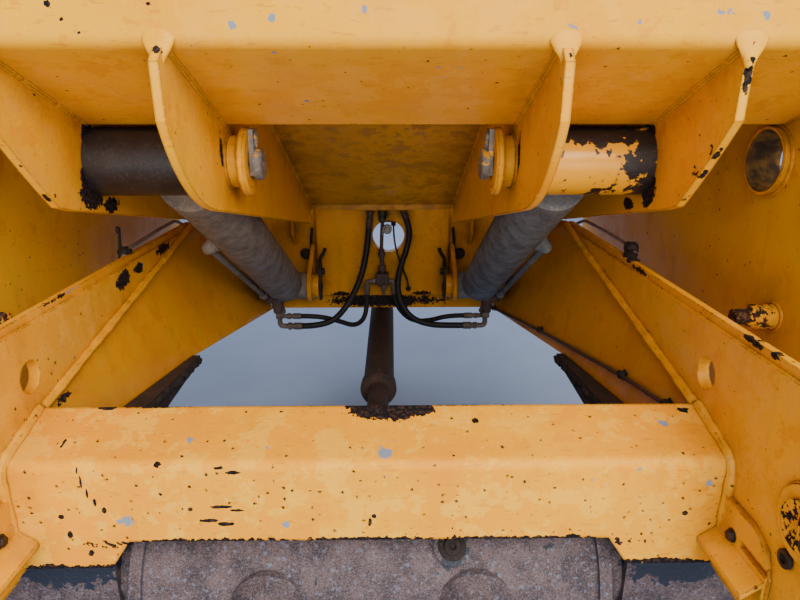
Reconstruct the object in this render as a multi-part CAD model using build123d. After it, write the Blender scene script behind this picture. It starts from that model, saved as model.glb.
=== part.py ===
from build123d import *
import math
import os

# Front chassis section of an articulated front-tip dumper, with its tipping frame,
# two tipping rams, their hoses, drive shaft and front axle.
# Millimetres. +X is the right-hand side seen from the front, +Y points to the rear,
# +Z is up. The origin is on the articulation pin, halfway between its two lugs.

# Plate thicknesses
side_t = 12.0
doubler_t = 6.0
slant_t = 10.0
beam_t = 10.0
rib_t = 12.0
floor_t = 8.0
cheek_t = 12.0
rear_t = 15.0
ear_t = 14.0
lug_plate_t = 8.0

# Main places: distances along Y and Z from the articulation pin
pivot_y, pivot_z = -1640.0, 50.0
eye_y, eye_z = -1186.0, 415.0
base_y, base_z = -295.0, -60.0
axle_y, axle_z = -1350.0, -226.0
shaft_x = -6.0
rear_y = -180.0
tower_depth = 20.0

# Chassis side plates and their doublers
side_x = 500.0
side_top_z = 210.0
side_front_out = 65.0
side_front_z = 105.0
side_chamfer = 55.0
side_tail_y = -610.0
side_tail_h = 22.0
side_foot_z = -85.0
side_foot_y = -1165.0
side_knee_y = -1080.0
side_step_y = -1500.0
side_step_z = -150.0
side_slope_z = 70.0
side_hole_y, side_hole_z, side_hole_r = -1387.0, 122.0, 25.0
doubler_drop = 13.0
doubler_lap = 4.0
doubler_edge = 8.0

# Front cross-beam and its end lugs
beam_bend_y, beam_bend_z = -1490.0, 38.0
beam_back_y, beam_back_z = -1381.0, 69.0
beam_rake = 4.0
beam_web_h = 90.0
beam_low_z = -84.0
beam_end_low_z = -128.0
beam_end_step_x = 340.0
beam_end_slant = 30.0
beam_bend_r = 16.0
lug_reach = 110.0
lug_top_z = -11.0
lug_low_z = -130.0
lug_arc_r = 46.0
leg_in_x = 466.0
leg_z = -57.0
slot_w = 11.0
slot_y, slot_z = -1548.0, -50.0
leg_drop = 25.0

# Slanted side plates between the side plates and the rear plate
slant_rear_x = 380.0
rear_low_z = -176.0
rear_top_z = 176.0
slant_rear_top_z = 166.0
tower_half = 226.0
tower_low_z = -124.0
tower_corner_r = 8.0
tower_hole_r = 54.0
tower_hole_x, tower_hole_z = 20.0, 84.0
stiff_x, stiff_t, stiff_out, stiff_low_z = 294.0, 10.0, 46.0, 52.0

# Axle saddles under the side plates
saddle_x = 425.0
saddle_top_front_z = -8.0
saddle_top_rear_z = -61.0
saddle_rear_y = -876.0
saddle_tail_t = 12.0
saddle_bow = 110.0

# Rams
ram_x = 320.0
barrel_r = 60.0
barrel_foot = 30.0
barrel_wall_end = 80.0
gland_r = 62.0
gland_len = 48.0
gland_gap = 16.0
rod_r = 32.0
rod_fit = 0.05
rod_base_gap = 100.0
base_eye_r = 44.0
base_pin_r = 25.0
eye_r = 55.0
eye_gap = 0.5
eye_pin_r = 27.5
pin_fit = 0.05
side_gap = 2.0

# Ears of the ram base pins
ear_gap = 4.0
ear_nose_r = 50.0
ear_root_low = 58.0
ear_root_up = 122.0
ear_root_len = 12.0
base_ring_r, base_ring_len = 38.0, 22.0
base_keeper_t, base_keeper_w = 8.0, 28.0
base_keeper_low, base_keeper_up = 46.0, 62.0

# Skip base frame
skip_bend_y, skip_bend_z = -1443.0, 569.0
skip_edge_y, skip_edge_z = -1205.0, 474.0
skip_half = 760.0
skip_bend_r = 18.0
skip_wall = 10.0
floor_slope = 0.4507
floor_ref_y, floor_ref_z = -810.0, 456.0
floor_lip = 17.0
frame_end_y = -238.0
rib_in_x = 238.0
rib_out_x = 456.0
rib_nose_y, rib_nose_z = -1323.0, 361.0
rib_low_slope = 0.2077
rib_nose_out = 22.0
outer_rib_back = 20.0
cheek_x = 663.0
collar_r = 42.0
collar_len = 34.0
eye_keeper_t, eye_keeper_w = 8.0, 32.0
eye_keeper_low, eye_keeper_up = 22.0, 52.0
access_r = 56.0
access_bore_r = 50.0
access_len = 60.0
peg_y, peg_z = -1270.0, 170.0
peg_r, peg_len = 21.0, 46.0
peg_tip_r, peg_tip_len = 13.0, 22.0
peg_round = 9.0

# Tipping pivots
pivot_pin_r = 30.0
pivot_tube_r = 46.0
pivot_boss_r = 62.0
pivot_boss_t = 14.0
pivot_pad_t, pivot_pin_out = 6.0, 12.0
pivot_flag_t, pivot_flag_w = 8.0, 44.0
pivot_flag_front, pivot_flag_back = 62.0, 10.0
pivot_gap = 1.0

# Articulation
art_bore_r = 40.0
art_lug_r = 88.0
art_lug_t = 40.0
art_lug_z = 150.0
art_root_half = 150.0
art_root_t = 30.0

# Axle and hubs
case_half = 357.0
case_r = 138.0
flange_r, flange_t = 146.0, 18.0
hump_x, hump_r = 155.0, 58.0
hump_face_r, hump_dome = 38.0, 36.0
hump_out, hump_up = 132.0, 12.0
boss_x, boss_r, boss_out, boss_up = 121.0, 28.0, 101.0, 93.5
nose_r, nose_len = 92.0, 190.0
nose_neck_r, nose_neck_len = 62.0, 255.0
arm_r = 82.0
arm_end_r, arm_end_t = 118.0, 22.0
arm_gap = 30.0
pad_in_x, pad_out_x, pad_half_y = 396.0, 546.0, 92.0
pad_low, pad_bend_r = 78.0, 22.0
hub_face_x = 700.0
hub_gap = 0.5
hub_drum_r = 150.0
hub_flange_r, hub_flange_t = 202.0, 22.0
hub_spigot_r, hub_spigot_len = 138.0, 74.0

# Drive shaft
shaft_gap = 0.5
tube_r = 42.0
spline_r = 26.0
bell_r, bell_len = 47.0, 42.0
bell_y = -735.0
joint_r, joint_len = 36.0, 120.0
shaft_flange_r, shaft_flange_t = 70.0, 16.0
shaft_end_y = -70.0

# Hydraulics
hose_r = 10.0
thin_hose_r = 8.0
cable_r = 3.0
crimp_add = 2.0
crimp_len = 60.0
ram_pipe_r = 9.0
ram_pipe_gap = 3.0
ram_pipe_lean = math.radians(48)
ram_pipe_low, ram_pipe_end = 62.0, 650.0
ram_boss = 28.0
port_half = 20.0
bracket_t = 7.0
bracket_x0, bracket_x1 = -72.0, 96.0
bracket_out = 24.0
riser_y = -212.0
block_x, block_z = -2.0, -53.0
block_w, block_h = 44.0, 40.0
side_pipe_r = 4.0
side_pipe_gap = 3.0
clip_fit = 0.2

os.makedirs("parts", exist_ok=True)
SIDES = (-1, 1)
BASE = (Align.CENTER, Align.CENTER, Align.MIN)


def save(name, solids):
    export_step(Compound(children=list(solids)), "parts/" + name + ".step")


def yz_plate(points, x0, x1):
    """Flat plate from an outline of (y, z) points, between two X values."""
    lo, hi = min(x0, x1), max(x0, x1)
    face = make_face(Polyline(*[(y, z) for y, z in points], close=True))
    return Plane(origin=(lo, 0, 0), x_dir=(0, 1, 0), z_dir=(1, 0, 0)) * extrude(face, hi - lo)


def yz_sheet(face, x0, x1):
    lo, hi = min(x0, x1), max(x0, x1)
    return Plane(origin=(lo, 0, 0), x_dir=(0, 1, 0), z_dir=(1, 0, 0)) * extrude(face, hi - lo)


def x_cyl(r, x0, x1, y, z):
    return Pos(min(x0, x1), y, z) * Rot(0, 90, 0) * Cylinder(r, abs(x1 - x0), align=BASE)


def y_cyl(r, y0, y1, x, z):
    return Pos(x, max(y0, y1), z) * Rot(90, 0, 0) * Cylinder(r, abs(y1 - y0), align=BASE)


def z_cyl(r, z0, z1, x, y):
    return Pos(x, y, min(z0, z1)) * Cylinder(r, abs(z1 - z0), align=BASE)


def box(x0, x1, y0, y1, z0, z1):
    lengths = (abs(x1 - x0), abs(y1 - y0), abs(z1 - z0))
    return Pos((x0 + x1) / 2, (y0 + y1) / 2, (z0 + z1) / 2) * Box(*lengths)


def floor_z(y):
    return floor_ref_z - (y - floor_ref_y) * floor_slope


def rib_low_z(y):
    return rib_nose_z - (y - rib_nose_y) * rib_low_slope


def prism(r, length):
    """Ten-sided bar along +Z for the crimped hose ends and small pipes."""
    return extrude(RegularPolygon(r, 10), length)


def x_prism(r, x0, x1, y, z):
    return Pos(min(x0, x1), y, z) * Rot(0, 90, 0) * prism(r, abs(x1 - x0))


def bent_tube(points, r, name, sides=8):
    """Tube on straight runs joined by arcs as large as the runs allow."""
    v = [Vector(*p) for p in points]
    radii = []
    for a, b, c in zip(v, v[1:], v[2:]):
        turn = math.radians((b - a).get_angle(c - b))
        run = min((b - a).length, (c - b).length)
        radii.append(0.45 * run / math.tan(turn / 2))
    path = FilletPolyline(*v, radius=radii)
    section = Plane(origin=v[0], z_dir=v[1] - v[0]) * RegularPolygon(r, sides)
    tube = sweep(section, path=path)
    share = tube.volume / (section.area * path.length)
    print(name, "length", round(path.length, 1), "radii", [round(x) for x in radii], "volume", round(share, 4))
    return tube


# Chassis side plates: level top, pivot nose in front, tapered tail behind
side_front_y = pivot_y - side_front_out
main_x = side_x + doubler_t
outer_x = main_x + side_t
foot_front_y = side_front_y + side_front_out
side_outline = [
    (side_front_y, pivot_z + side_front_z),
    (side_front_y + side_chamfer, side_top_z),
    (side_tail_y, side_top_z),
    (side_tail_y, side_top_z - side_tail_h),
    (side_knee_y, 0),
    (side_foot_y, side_foot_z),
    (side_step_y, side_foot_z),
    (side_step_y, side_step_z),
    (foot_front_y, side_step_z),
    (side_front_y, side_foot_z),
]
doubler_outline = [
    (side_front_y + doubler_edge, pivot_z + side_front_z),
    (side_front_y + side_chamfer + doubler_edge, side_top_z - doubler_drop),
    (side_tail_y, side_top_z - doubler_drop),
    (beam_back_y, side_slope_z - doubler_lap),
    (beam_back_y, side_foot_z),
    (side_step_y, side_foot_z),
    (side_step_y, side_step_z + doubler_edge),
    (foot_front_y, side_step_z + doubler_edge),
    (side_front_y + doubler_edge, side_foot_z),
]
sides = []
for s in SIDES:
    through = (s * (side_x - 2 * pivot_pad_t), s * (outer_x + 5))
    holes = x_cyl(pivot_pin_r + pin_fit, *through, pivot_y, pivot_z)
    holes += x_cyl(side_hole_r, *through, side_hole_y, side_hole_z)
    plate = yz_plate(side_outline, s * main_x, s * outer_x)
    plate += yz_plate(doubler_outline, s * side_x, s * main_x)
    plate += x_cyl(pivot_tube_r, s * (side_x - pivot_pad_t), s * side_x, pivot_y, pivot_z)
    sides.append(plate - holes)
save("side_plates", sides)

# Front cross-beam: sloped top, rounded bend, raked front face stepped down at the ends, back web
front_foot_y = beam_bend_y - beam_rake
profile = [
    (beam_back_y, beam_back_z),
    (beam_bend_y, beam_bend_z),
    (front_foot_y, beam_end_low_z),
    (front_foot_y + beam_t, beam_end_low_z),
    (beam_bend_y + beam_t, beam_bend_z - beam_t + 2),
    (beam_back_y - beam_t, beam_back_z - beam_t - 3),
    (beam_back_y - beam_t, beam_back_z - beam_web_h),
    (beam_back_y, beam_back_z - beam_web_h),
]
beam = yz_plate(profile, -side_x, side_x)


def bend_edge(part, y, z):
    near = [e for e in part.edges().filter_by(Axis.X) if abs(e.center().Y - y) < 1 and abs(e.center().Z - z) < 1]
    return near


beam = fillet(bend_edge(beam, beam_bend_y, beam_bend_z), beam_bend_r)
notch = make_face(
    Polyline(
        (-beam_end_step_x, beam_low_z),
        (beam_end_step_x, beam_low_z),
        (beam_end_step_x + beam_end_slant, beam_end_low_z - 1),
        (-beam_end_step_x - beam_end_slant, beam_end_low_z - 1),
        close=True,
    )
)
notch = Plane(origin=(0, beam_bend_y, 0), x_dir=(1, 0, 0), z_dir=(0, -1, 0)) * extrude(notch, 4 * beam_t, both=True)
save("front_cross_beam", [beam - notch])

# Lugs at the beam's ends: plate with an open slot against each doubler, with a leg folded inwards
lugs = []
for s in SIDES:
    lug_face = make_hull(
        [
            *(Pos(front_foot_y - lug_reach + lug_arc_r, lug_top_z - lug_arc_r) * Circle(lug_arc_r)).edges(),
            *Polyline(
                (front_foot_y, lug_top_z),
                (front_foot_y, lug_low_z),
                (front_foot_y - lug_reach, lug_low_z),
            ).edges(),
        ]
    )
    lug = yz_sheet(lug_face, s * (side_x - lug_plate_t), s * side_x)
    lug -= box(s * leg_in_x, s * (side_x + 1), front_foot_y - 2 * lug_reach, slot_y, slot_z - slot_w / 2, slot_z + slot_w / 2)
    leg_face = make_face(
        Polyline(
            (s * side_x, leg_z),
            (s * leg_in_x, leg_z - leg_drop),
            (s * leg_in_x, leg_z - leg_drop - lug_plate_t),
            (s * side_x, leg_z - lug_plate_t),
            close=True,
        )
    )
    leg = Plane(origin=(0, front_foot_y, 0), x_dir=(1, 0, 0), z_dir=(0, -1, 0)) * extrude(leg_face, lug_reach)
    lugs.append(lug + leg)
save("beam_end_lugs", lugs)


def slant_plane(s):
    """Inner face of a slanted side plate, its normal pointing outwards."""
    a = Vector(s * side_x, beam_back_y, side_slope_z)
    b = Vector(s * side_x, side_tail_y, side_top_z)
    c = Vector(s * slant_rear_x, rear_y, rear_low_z)
    n = (b - a).cross(c - a).normalized()
    if n.X * s < 0:
        n = n * -1
    return Plane(origin=a, x_dir=(b - a).normalized(), z_dir=n)


def outside_slant(s):
    return slant_plane(s) * Pos(0, 0, 300) * Box(5000, 5000, 600)


def slant_x(s, y, z):
    """X of the slanted plate's inner face at a given Y and Z."""
    pl = slant_plane(s)
    a, n = pl.origin, pl.z_dir
    return a.X - (n.Y * (y - a.Y) + n.Z * (z - a.Z)) / n.X


# Slanted side plates: from the tapered tail line of each side plate to the rear plate
slant = []
saddles = []
for s in SIDES:
    pl = slant_plane(s)
    corners = [
        (beam_back_y, side_slope_z),
        (side_tail_y, side_top_z),
        (rear_y + rear_t, slant_rear_top_z),
        (rear_y + rear_t, rear_low_z),
        (saddle_rear_y, saddle_top_rear_z - 3),
        (beam_back_y - 5, saddle_top_front_z - saddle_tail_t),
    ]
    flat = []
    for y, z in corners:
        p = pl.to_local_coords(Vector(slant_x(s, y, z), y, z))
        flat.append((p.X, p.Y))
    plate = pl * extrude(make_face(Polyline(*flat, close=True)), slant_t)
    plate &= box(0, s * side_x, beam_back_y, rear_y + rear_t, 2 * rear_low_z, side_top_z)
    saddle = yz_plate(
        [
            (beam_back_y, saddle_top_front_z),
            (saddle_rear_y, saddle_top_rear_z),
            (saddle_rear_y, saddle_top_rear_z - saddle_tail_t),
            (axle_y + saddle_bow, side_foot_z),
            (beam_back_y, side_foot_z),
        ],
        s * saddle_x,
        s * side_x,
    )
    slant.append(plate - saddle)
    saddles.append(saddle)
save("slanted_side_plates", slant)
save("axle_saddles", saddles)

# Rear plate, cut to the slanted plates' inner faces; the tower is a raised box on it
tower_y = rear_y - tower_depth
rear = box(-side_x, side_x, rear_y, rear_y + rear_t, rear_low_z, rear_top_z)
for s in SIDES:
    rear -= outside_slant(s)
hole = y_cyl(tower_hole_r, tower_y - 1, rear_y + rear_t + 1, tower_hole_x, tower_hole_z)
save("rear_plate", [rear - hole])
tower = box(-tower_half, tower_half, tower_y, rear_y, tower_low_z, rear_top_z)
tower = fillet([e for e in tower.edges().filter_by(Axis.Z) if e.center().Y < tower_y + 1], tower_corner_r)
save("tower", [tower - hole])

stiffeners = []
for s in SIDES:
    outline = [
        (rear_y, rear_top_z),
        (rear_y - stiff_out, rear_top_z),
        (rear_y - stiff_out, stiff_low_z + stiff_out),
        (rear_y, stiff_low_z),
    ]
    stiffeners.append(yz_plate(outline, s * stiff_x, s * (stiff_x + stiff_t)))
save("rear_stiffeners", stiffeners)

# Ears for the ram base pins, with a ring, a pin and a keeper on the inner ones
ear_in_x = tower_half + ear_gap
ear_out_x = ram_x + barrel_r + side_gap
ear_face = make_hull(
    [
        *(Pos(base_y, base_z) * Circle(ear_nose_r)).edges(),
        *Polyline(
            (rear_y - ear_root_len, base_z - ear_root_low),
            (rear_y, base_z - ear_root_low),
            (rear_y, base_z + ear_root_up),
        ).edges(),
    ]
)
ears = []
base_pins = []
base_keepers = []
ring_x = ear_in_x - base_ring_len
for s in SIDES:
    inner_ear = yz_sheet(ear_face, s * ear_in_x, s * (ear_in_x + ear_t))
    inner_ear += x_cyl(base_ring_r, s * ring_x, s * ear_in_x, base_y, base_z)
    outer_ear = yz_sheet(ear_face, s * ear_out_x, s * (ear_out_x + ear_t))
    pin_hole = x_cyl(base_pin_r + pin_fit, s * (ring_x - 1), s * (ear_out_x + ear_t + 1), base_y, base_z)
    ears += [inner_ear - outside_slant(s) - pin_hole, outer_ear - outside_slant(s) - pin_hole]
    base_pins.append(x_cyl(base_pin_r, s * ring_x, s * (ear_out_x + ear_t), base_y, base_z))
    half = base_keeper_w / 2
    keeper_z = (base_z - base_keeper_low, base_z + base_keeper_up)
    base_keepers.append(box(s * (ring_x - base_keeper_t), s * ring_x, base_y - half, base_y + half, *keeper_z))
save("ram_ears", ears)
save("base_pins", base_pins)
save("base_keepers", base_keepers)

# Articulation lugs behind the rear plate
back_y = rear_y + rear_t
art_lugs = []
for z0 in (-art_lug_z, art_lug_z):
    root = Pos(0, back_y + art_root_t / 2) * Rectangle(2 * art_root_half, art_root_t)
    face = make_hull([*Circle(art_lug_r).edges(), *root.edges()])
    lug = Pos(0, 0, z0 - art_lug_t / 2) * extrude(face, art_lug_t)
    art_lugs.append(lug - z_cyl(art_bore_r, z0 - art_lug_t, z0 + art_lug_t, 0, 0))
save("articulation_lugs", art_lugs)

# Tipping pivots: tube on each side plate, pin through it, flag keeper inside
tubes = []
pins = []
flags = []
tube_end_x = cheek_x - pivot_boss_t - pivot_gap
for s in SIDES:
    tube = x_cyl(pivot_tube_r, s * outer_x, s * tube_end_x, pivot_y, pivot_z)
    tubes.append(tube - x_cyl(pivot_pin_r + pin_fit, s * side_x, s * cheek_x, pivot_y, pivot_z))
    pin_x = side_x - pivot_pin_out
    pins.append(x_cyl(pivot_pin_r, s * pin_x, s * (cheek_x + cheek_t + pivot_boss_t), pivot_y, pivot_z))
    half = pivot_flag_w / 2
    flag_y = (pivot_y - pivot_flag_front, pivot_y - pivot_flag_back)
    flags.append(box(s * (pin_x - pivot_flag_t), s * pin_x, *flag_y, pivot_z - half, pivot_z + half))
save("pivot_tubes", tubes)
save("pivot_pins", pins)
save("pivot_keepers", flags)

# Axle: centre casting with two rounded humps, a plug boss and the pinion nose
case = x_cyl(case_r, -case_half, case_half, axle_y, axle_z)
for s in SIDES:
    case += x_cyl(flange_r, s * (case_half - flange_t), s * case_half, axle_y, axle_z)
    dome = make_face(
        Polyline(
            (0, 0),
            (hump_r, 0),
            (hump_r, hump_out),
            (hump_face_r, hump_out + hump_dome),
            (0, hump_out + hump_dome),
            close=True,
        )
    )
    case += Pos(s * hump_x, axle_y, axle_z + hump_up) * Rot(90, 0, 0) * revolve(Plane.XZ * dome, Axis.Z)
boss_turn = math.degrees(math.atan2(boss_out, boss_up))
boss = Pos(boss_x, axle_y, axle_z) * Rot(boss_turn, 0, 0) * Cylinder(boss_r, math.hypot(boss_out, boss_up) + 8, align=BASE)
case += boss
nose_end_y = axle_y + nose_neck_len
case += y_cyl(nose_r, axle_y, axle_y + nose_len, shaft_x, axle_z)
case += y_cyl(nose_neck_r, axle_y, nose_end_y, shaft_x, axle_z)
save("axle_case", [case])

arm_end_x = hub_face_x - arm_gap
arms = []
for s in SIDES:
    arm = x_cyl(arm_r, s * case_half, s * arm_end_x, axle_y, axle_z)
    pad = box(s * pad_in_x, s * pad_out_x, axle_y - pad_half_y, axle_y + pad_half_y, axle_z - pad_low, side_foot_z)
    low = [e for e in pad.edges().filter_by(Axis.X) if e.center().Z < axle_z]
    arm += fillet(low, pad_bend_r)
    arm += x_cyl(arm_end_r, s * (arm_end_x - arm_end_t), s * arm_end_x, axle_y, axle_z)
    arms.append(arm)
save("axle_arms", arms)

# Hubs: brake drum, wheel flange and centring spigot
flange_x = hub_face_x + hub_flange_t
spigot_x = flange_x + hub_spigot_len
for s, side in ((-1, "left"), (1, "right")):
    turned = make_face(
        Polyline(
            (arm_end_x + hub_gap, 0),
            (arm_end_x + hub_gap, hub_drum_r),
            (hub_face_x, hub_drum_r),
            (hub_face_x, hub_flange_r),
            (flange_x, hub_flange_r),
            (flange_x, hub_spigot_r),
            (spigot_x, hub_spigot_r),
            (spigot_x, 0),
            close=True,
        )
    )
    hub = revolve(turned, Axis.X)
    if s < 0:
        hub = Rot(0, 180, 0) * hub
    save("hub_" + side, [Pos(0, axle_y, axle_z) * hub])

# Drive shaft: flange and joint at the axle, splined stub, bell collar, tube to the rear
flange_y = nose_end_y + shaft_gap
turned = make_face(
    Polyline(
        (0, flange_y),
        (shaft_flange_r, flange_y),
        (shaft_flange_r, flange_y + shaft_flange_t),
        (joint_r, flange_y + shaft_flange_t),
        (joint_r, flange_y + joint_len),
        (spline_r, flange_y + joint_len),
        (spline_r, bell_y),
        (bell_r, bell_y),
        (bell_r, bell_y + bell_len),
        (tube_r, bell_y + bell_len),
        (tube_r, shaft_end_y),
        (0, shaft_end_y),
        close=True,
    )
)
save("drive_shaft", [Pos(shaft_x, 0, axle_z) * revolve(turned, Axis.Y)])

# Rams
dy = eye_y - base_y
dz = eye_z - base_z
ram_len = math.hypot(dy, dz)
ram_ang = math.degrees(math.atan2(dz, -dy))
print("ram pin to pin", round(ram_len, 2), "slope", round(ram_ang, 3))


def along_ram(s):
    """Frame of one ram: origin at the base pin, +Z to the rod eye, +Y on its upper side."""
    return Pos(s * ram_x, base_y, base_z) * Rot(90 - ram_ang, 0, 0)


base_eye_in = ear_in_x + ear_t + side_gap
base_eye_out = ram_x + barrel_r
gland_end = ram_len - eye_r - gland_gap
gland_start = gland_end - gland_len
for s, side in ((-1, "left"), (1, "right")):
    ram = along_ram(s)
    tube = ram * Pos(0, 0, barrel_foot) * Cylinder(barrel_r, gland_start - barrel_foot, align=BASE)
    tube += ram * Pos(0, 0, gland_start) * Cylinder(gland_r, gland_len, align=BASE)
    tube += x_cyl(base_eye_r, s * base_eye_in, s * base_eye_out, base_y, base_z)
    tube -= ram * Pos(0, 0, barrel_wall_end) * Cylinder(rod_r + rod_fit, gland_end, align=BASE)
    tube -= x_cyl(base_pin_r + pin_fit, s * (base_eye_in - 1), s * (base_eye_out + 1), base_y, base_z)
    save("ram_barrel_" + side, [tube])
    rod = ram * Pos(0, 0, rod_base_gap) * Cylinder(rod_r, ram_len - rod_base_gap, align=BASE)
    eye_in = rib_in_x + rib_t / 2 + eye_gap
    eye_out = rib_out_x - rib_t / 2 - eye_gap
    rod += x_cyl(eye_r, s * eye_in, s * eye_out, eye_y, eye_z)
    rod -= x_cyl(eye_pin_r + pin_fit, s * (eye_in - 1), s * (eye_out + 1), eye_y, eye_z)
    save("ram_rod_" + side, [rod])

# Steel pipe, ports and hose ends on the lower outer side of each ram
port_x = ram_x + 19.0
port_top_z = base_z - 30.0
port_low_z = base_z - 82.0
lift_y, lift_z = base_y - 39.0, base_z - 128.0
return_y, return_z = base_y - 23.0, base_z - 99.0
lift_crimp_x, return_crimp_x = 266.0, 270.0
crimp_step = 46.0
elbow_r = 8.0
pipe_off = barrel_r + ram_pipe_gap + ram_pipe_r
lobe_w, lobe_h = 34.0, 46.0


for s, side in ((-1, "left"), (1, "right")):
    ram = along_ram(s)
    px = s * pipe_off * math.sin(ram_pipe_lean)
    py = -pipe_off * math.cos(ram_pipe_lean)
    body = ram * Cylinder(barrel_r, ram_len, align=BASE)
    pipe = ram * Pos(px, py, ram_pipe_low) * prism(ram_pipe_r, ram_pipe_end - ram_pipe_low)
    turn = math.degrees(math.atan2(py, px))
    out = (barrel_r + ram_boss / 2) / pipe_off
    pipe += ram * Pos(px * out, py * out, ram_pipe_end) * Rot(0, 0, turn) * Box(ram_boss, ram_boss, ram_boss)
    block = box(s * (port_x - port_half), s * (port_x + port_half), lift_y - 27, lift_y + 23, port_low_z, port_top_z)
    low = ram * Pos(px, py, ram_pipe_low)
    low_y, low_z = low.position.Y, low.position.Z
    block += box(s * port_x, s * (port_x + lobe_w + 11), low_y - lobe_h / 2, base_y - ear_nose_r - 7, low_z - lobe_h / 2, low_z + lobe_h / 4)
    pipe += block - body - x_cyl(base_eye_r, s * base_eye_in, s * base_eye_out, base_y, base_z)
    lift_end = lift_crimp_x + crimp_step
    return_end = return_crimp_x + crimp_step
    pipe += x_prism(hose_r + crimp_add, s * lift_crimp_x, s * lift_end, lift_y, lift_z)
    pipe += x_prism(thin_hose_r + crimp_add, s * return_crimp_x, s * return_end, return_y, return_z)
    turn_x = port_x + 8
    pipe += box(s * lift_end, s * turn_x, lift_y - elbow_r, lift_y + elbow_r, lift_z - elbow_r, port_low_z)
    turn_x = port_x - 8
    pipe += box(s * return_end, s * turn_x, return_y - elbow_r, return_y + elbow_r, return_z - elbow_r, port_low_z + 30)
    save("ram_pipe_" + side, [pipe])

# Fittings in front of the tower: bracket on its top, pipes under it, cross block on a stem
bracket = box(bracket_x0, bracket_x1, tower_y - bracket_out, rear_y + rear_t, rear_top_z, rear_top_z + bracket_t)
save("hose_bracket", [bracket])
below = box(-500, 500, -500, 500, rear_top_z - 300, rear_top_z)
left_top = (-45.0, riser_y - 1, rear_top_z - crimp_len)
right_top = (78.0, riser_y - 1, rear_top_z - 26)


def crimp_up(top, nxt, r):
    """Crimped hose end from the hose's first point up to the bracket."""
    a, b = Vector(*top), Vector(*nxt)
    d = (a - b).normalized()
    return Plane(origin=a, z_dir=d) * prism(r, 2 * crimp_len) & below


lift_left = [
    left_top,
    (-50, riser_y - 2, 58),
    (-71, -243, -47),
    (-122, -300, -140),
    (-184, lift_y, lift_z),
    (-lift_crimp_x, lift_y, lift_z),
]
lift_right = [
    right_top,
    (92, riser_y - 2, 112),
    (86, -221, 58),
    (52, -252, -32),
    (50, -280, -102),
    (88, -310, -168),
    (150, -326, -187),
    (206, lift_y, lift_z),
    (lift_crimp_x, lift_y, lift_z),
]
elbow_left_x, elbow_right_x = -54.0, 37.0
block_y = tower_y - 36.0
arm_z = block_z - 9.0
return_left = [
    (elbow_left_x, block_y, arm_z - 24),
    (elbow_left_x, block_y, -124),
    (-61, -253, -190),
    (-96, -280, -210),
    (-150, -295, -184),
    (-214, return_y, return_z),
    (-return_crimp_x, return_y, return_z),
]
return_right = [
    (elbow_right_x, block_y, arm_z - 24),
    (elbow_right_x, block_y, -112),
    (54, -254, -158),
    (98, -278, -192),
    (156, -299, -184),
    (216, return_y, return_z),
    (return_crimp_x, return_y, return_z),
]
fittings = [crimp_up(left_top, lift_left[1], hose_r + 1.5), crimp_up(right_top, lift_right[1], hose_r + 1.5)]
centre = bent_tube([(2, riser_y - 1, rear_top_z + 9), (-3, riser_y - 3, 84), (-4, -225, 24), (1, block_y, block_z)], thin_hose_r, "centre pipe")
banjo_x, banjo_z, banjo_r = 16.0, 112.0, 13.0
centre += Pos(banjo_x, riser_y + 6, banjo_z) * Rot(90, 0, 0) * prism(banjo_r, 18)
centre &= box(-100, 100, -300, -200, block_z + block_h / 2, rear_top_z)
fittings.append(centre)
save("supply_pipes", fittings)
tee = box(block_x - block_w / 2, block_x + block_w / 2, block_y - 18, block_y + 18, block_z - block_h / 2, block_z + block_h / 2)
tee += box(block_x - 10, block_x + 10, block_y, tower_y, block_z - 10, block_z + 10)
tee += Pos(block_x + 6, block_y, block_z - block_h / 2 - 36) * prism(elbow_r + 2, 36 + block_h / 2)
for ex in (elbow_left_x, elbow_right_x):
    out = math.copysign(elbow_r, ex - block_x)
    tee += x_prism(elbow_r, block_x, ex - out, block_y, arm_z)
    tee += box(ex - elbow_r, ex + elbow_r, block_y - elbow_r, block_y + elbow_r, arm_z - 24, arm_z + elbow_r)
save("tee_block", [tee])

save("hose_lift_left", [bent_tube(lift_left, hose_r, "hose_lift_left")])
save("hose_lift_right", [bent_tube(lift_right, hose_r, "hose_lift_right")])
save("hose_return_left", [bent_tube(return_left, thin_hose_r, "hose_return_left", 6)])
save("hose_return_right", [bent_tube(return_right, thin_hose_r, "hose_return_right", 6)])

# Thin cable over the hose hole, held by two clips on the tower
cable_x0, cable_z0 = 37.0, 134.0
cable_x1, cable_z1 = 88.0, -107.0
cable = [
    (cable_x0, tower_y - 7, cable_z0),
    (cable_x0, tower_y - 7, 84),
    (50, tower_y - 11, 22),
    (76, tower_y - 8, -46),
    (cable_x1, tower_y - 7, -80),
    (cable_x1, tower_y - 7, cable_z1),
]
save("cable", [bent_tube(cable, cable_r, "cable", 6)])
clip_t = 7 - cable_r
clips = [
    box(cable_x0 - 8, cable_x0 + 8, tower_y - clip_t, tower_y, cable_z0 - 13, cable_z0 - 1),
    box(cable_x1 - 8, cable_x1 + 8, tower_y - clip_t, tower_y, cable_z1 + 1, cable_z1 + 13),
]

# Thin steel pipe along the right slanted plate, on four clips
pipe_run = [(-1335, 37), (-1161, 14), (-700, -68), (-225, -163)]
inward = side_pipe_r + side_pipe_gap
along = [(slant_x(1, y, z) - inward, y, z) for y, z in pipe_run]
side_pipe = bent_tube(along, side_pipe_r, "side_pipe")
save("side_pipe", [side_pipe])


def on_slant(y, z, half, reach):
    """Small block on the right slanted plate's inner face."""
    pl = slant_plane(1)
    p = Plane(origin=Vector(slant_x(1, y, z), y, z), x_dir=pl.x_dir, z_dir=-pl.z_dir)
    return p * Box(2 * half, 2 * half, reach, align=BASE)


clips += [on_slant(y, z, 8, side_pipe_gap - clip_fit) for y, z in ((-1320, 35.03), (-1161, 14.4), (-700, -67.6), (-240, -159.9))]
save("pipe_clips", clips)

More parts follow.
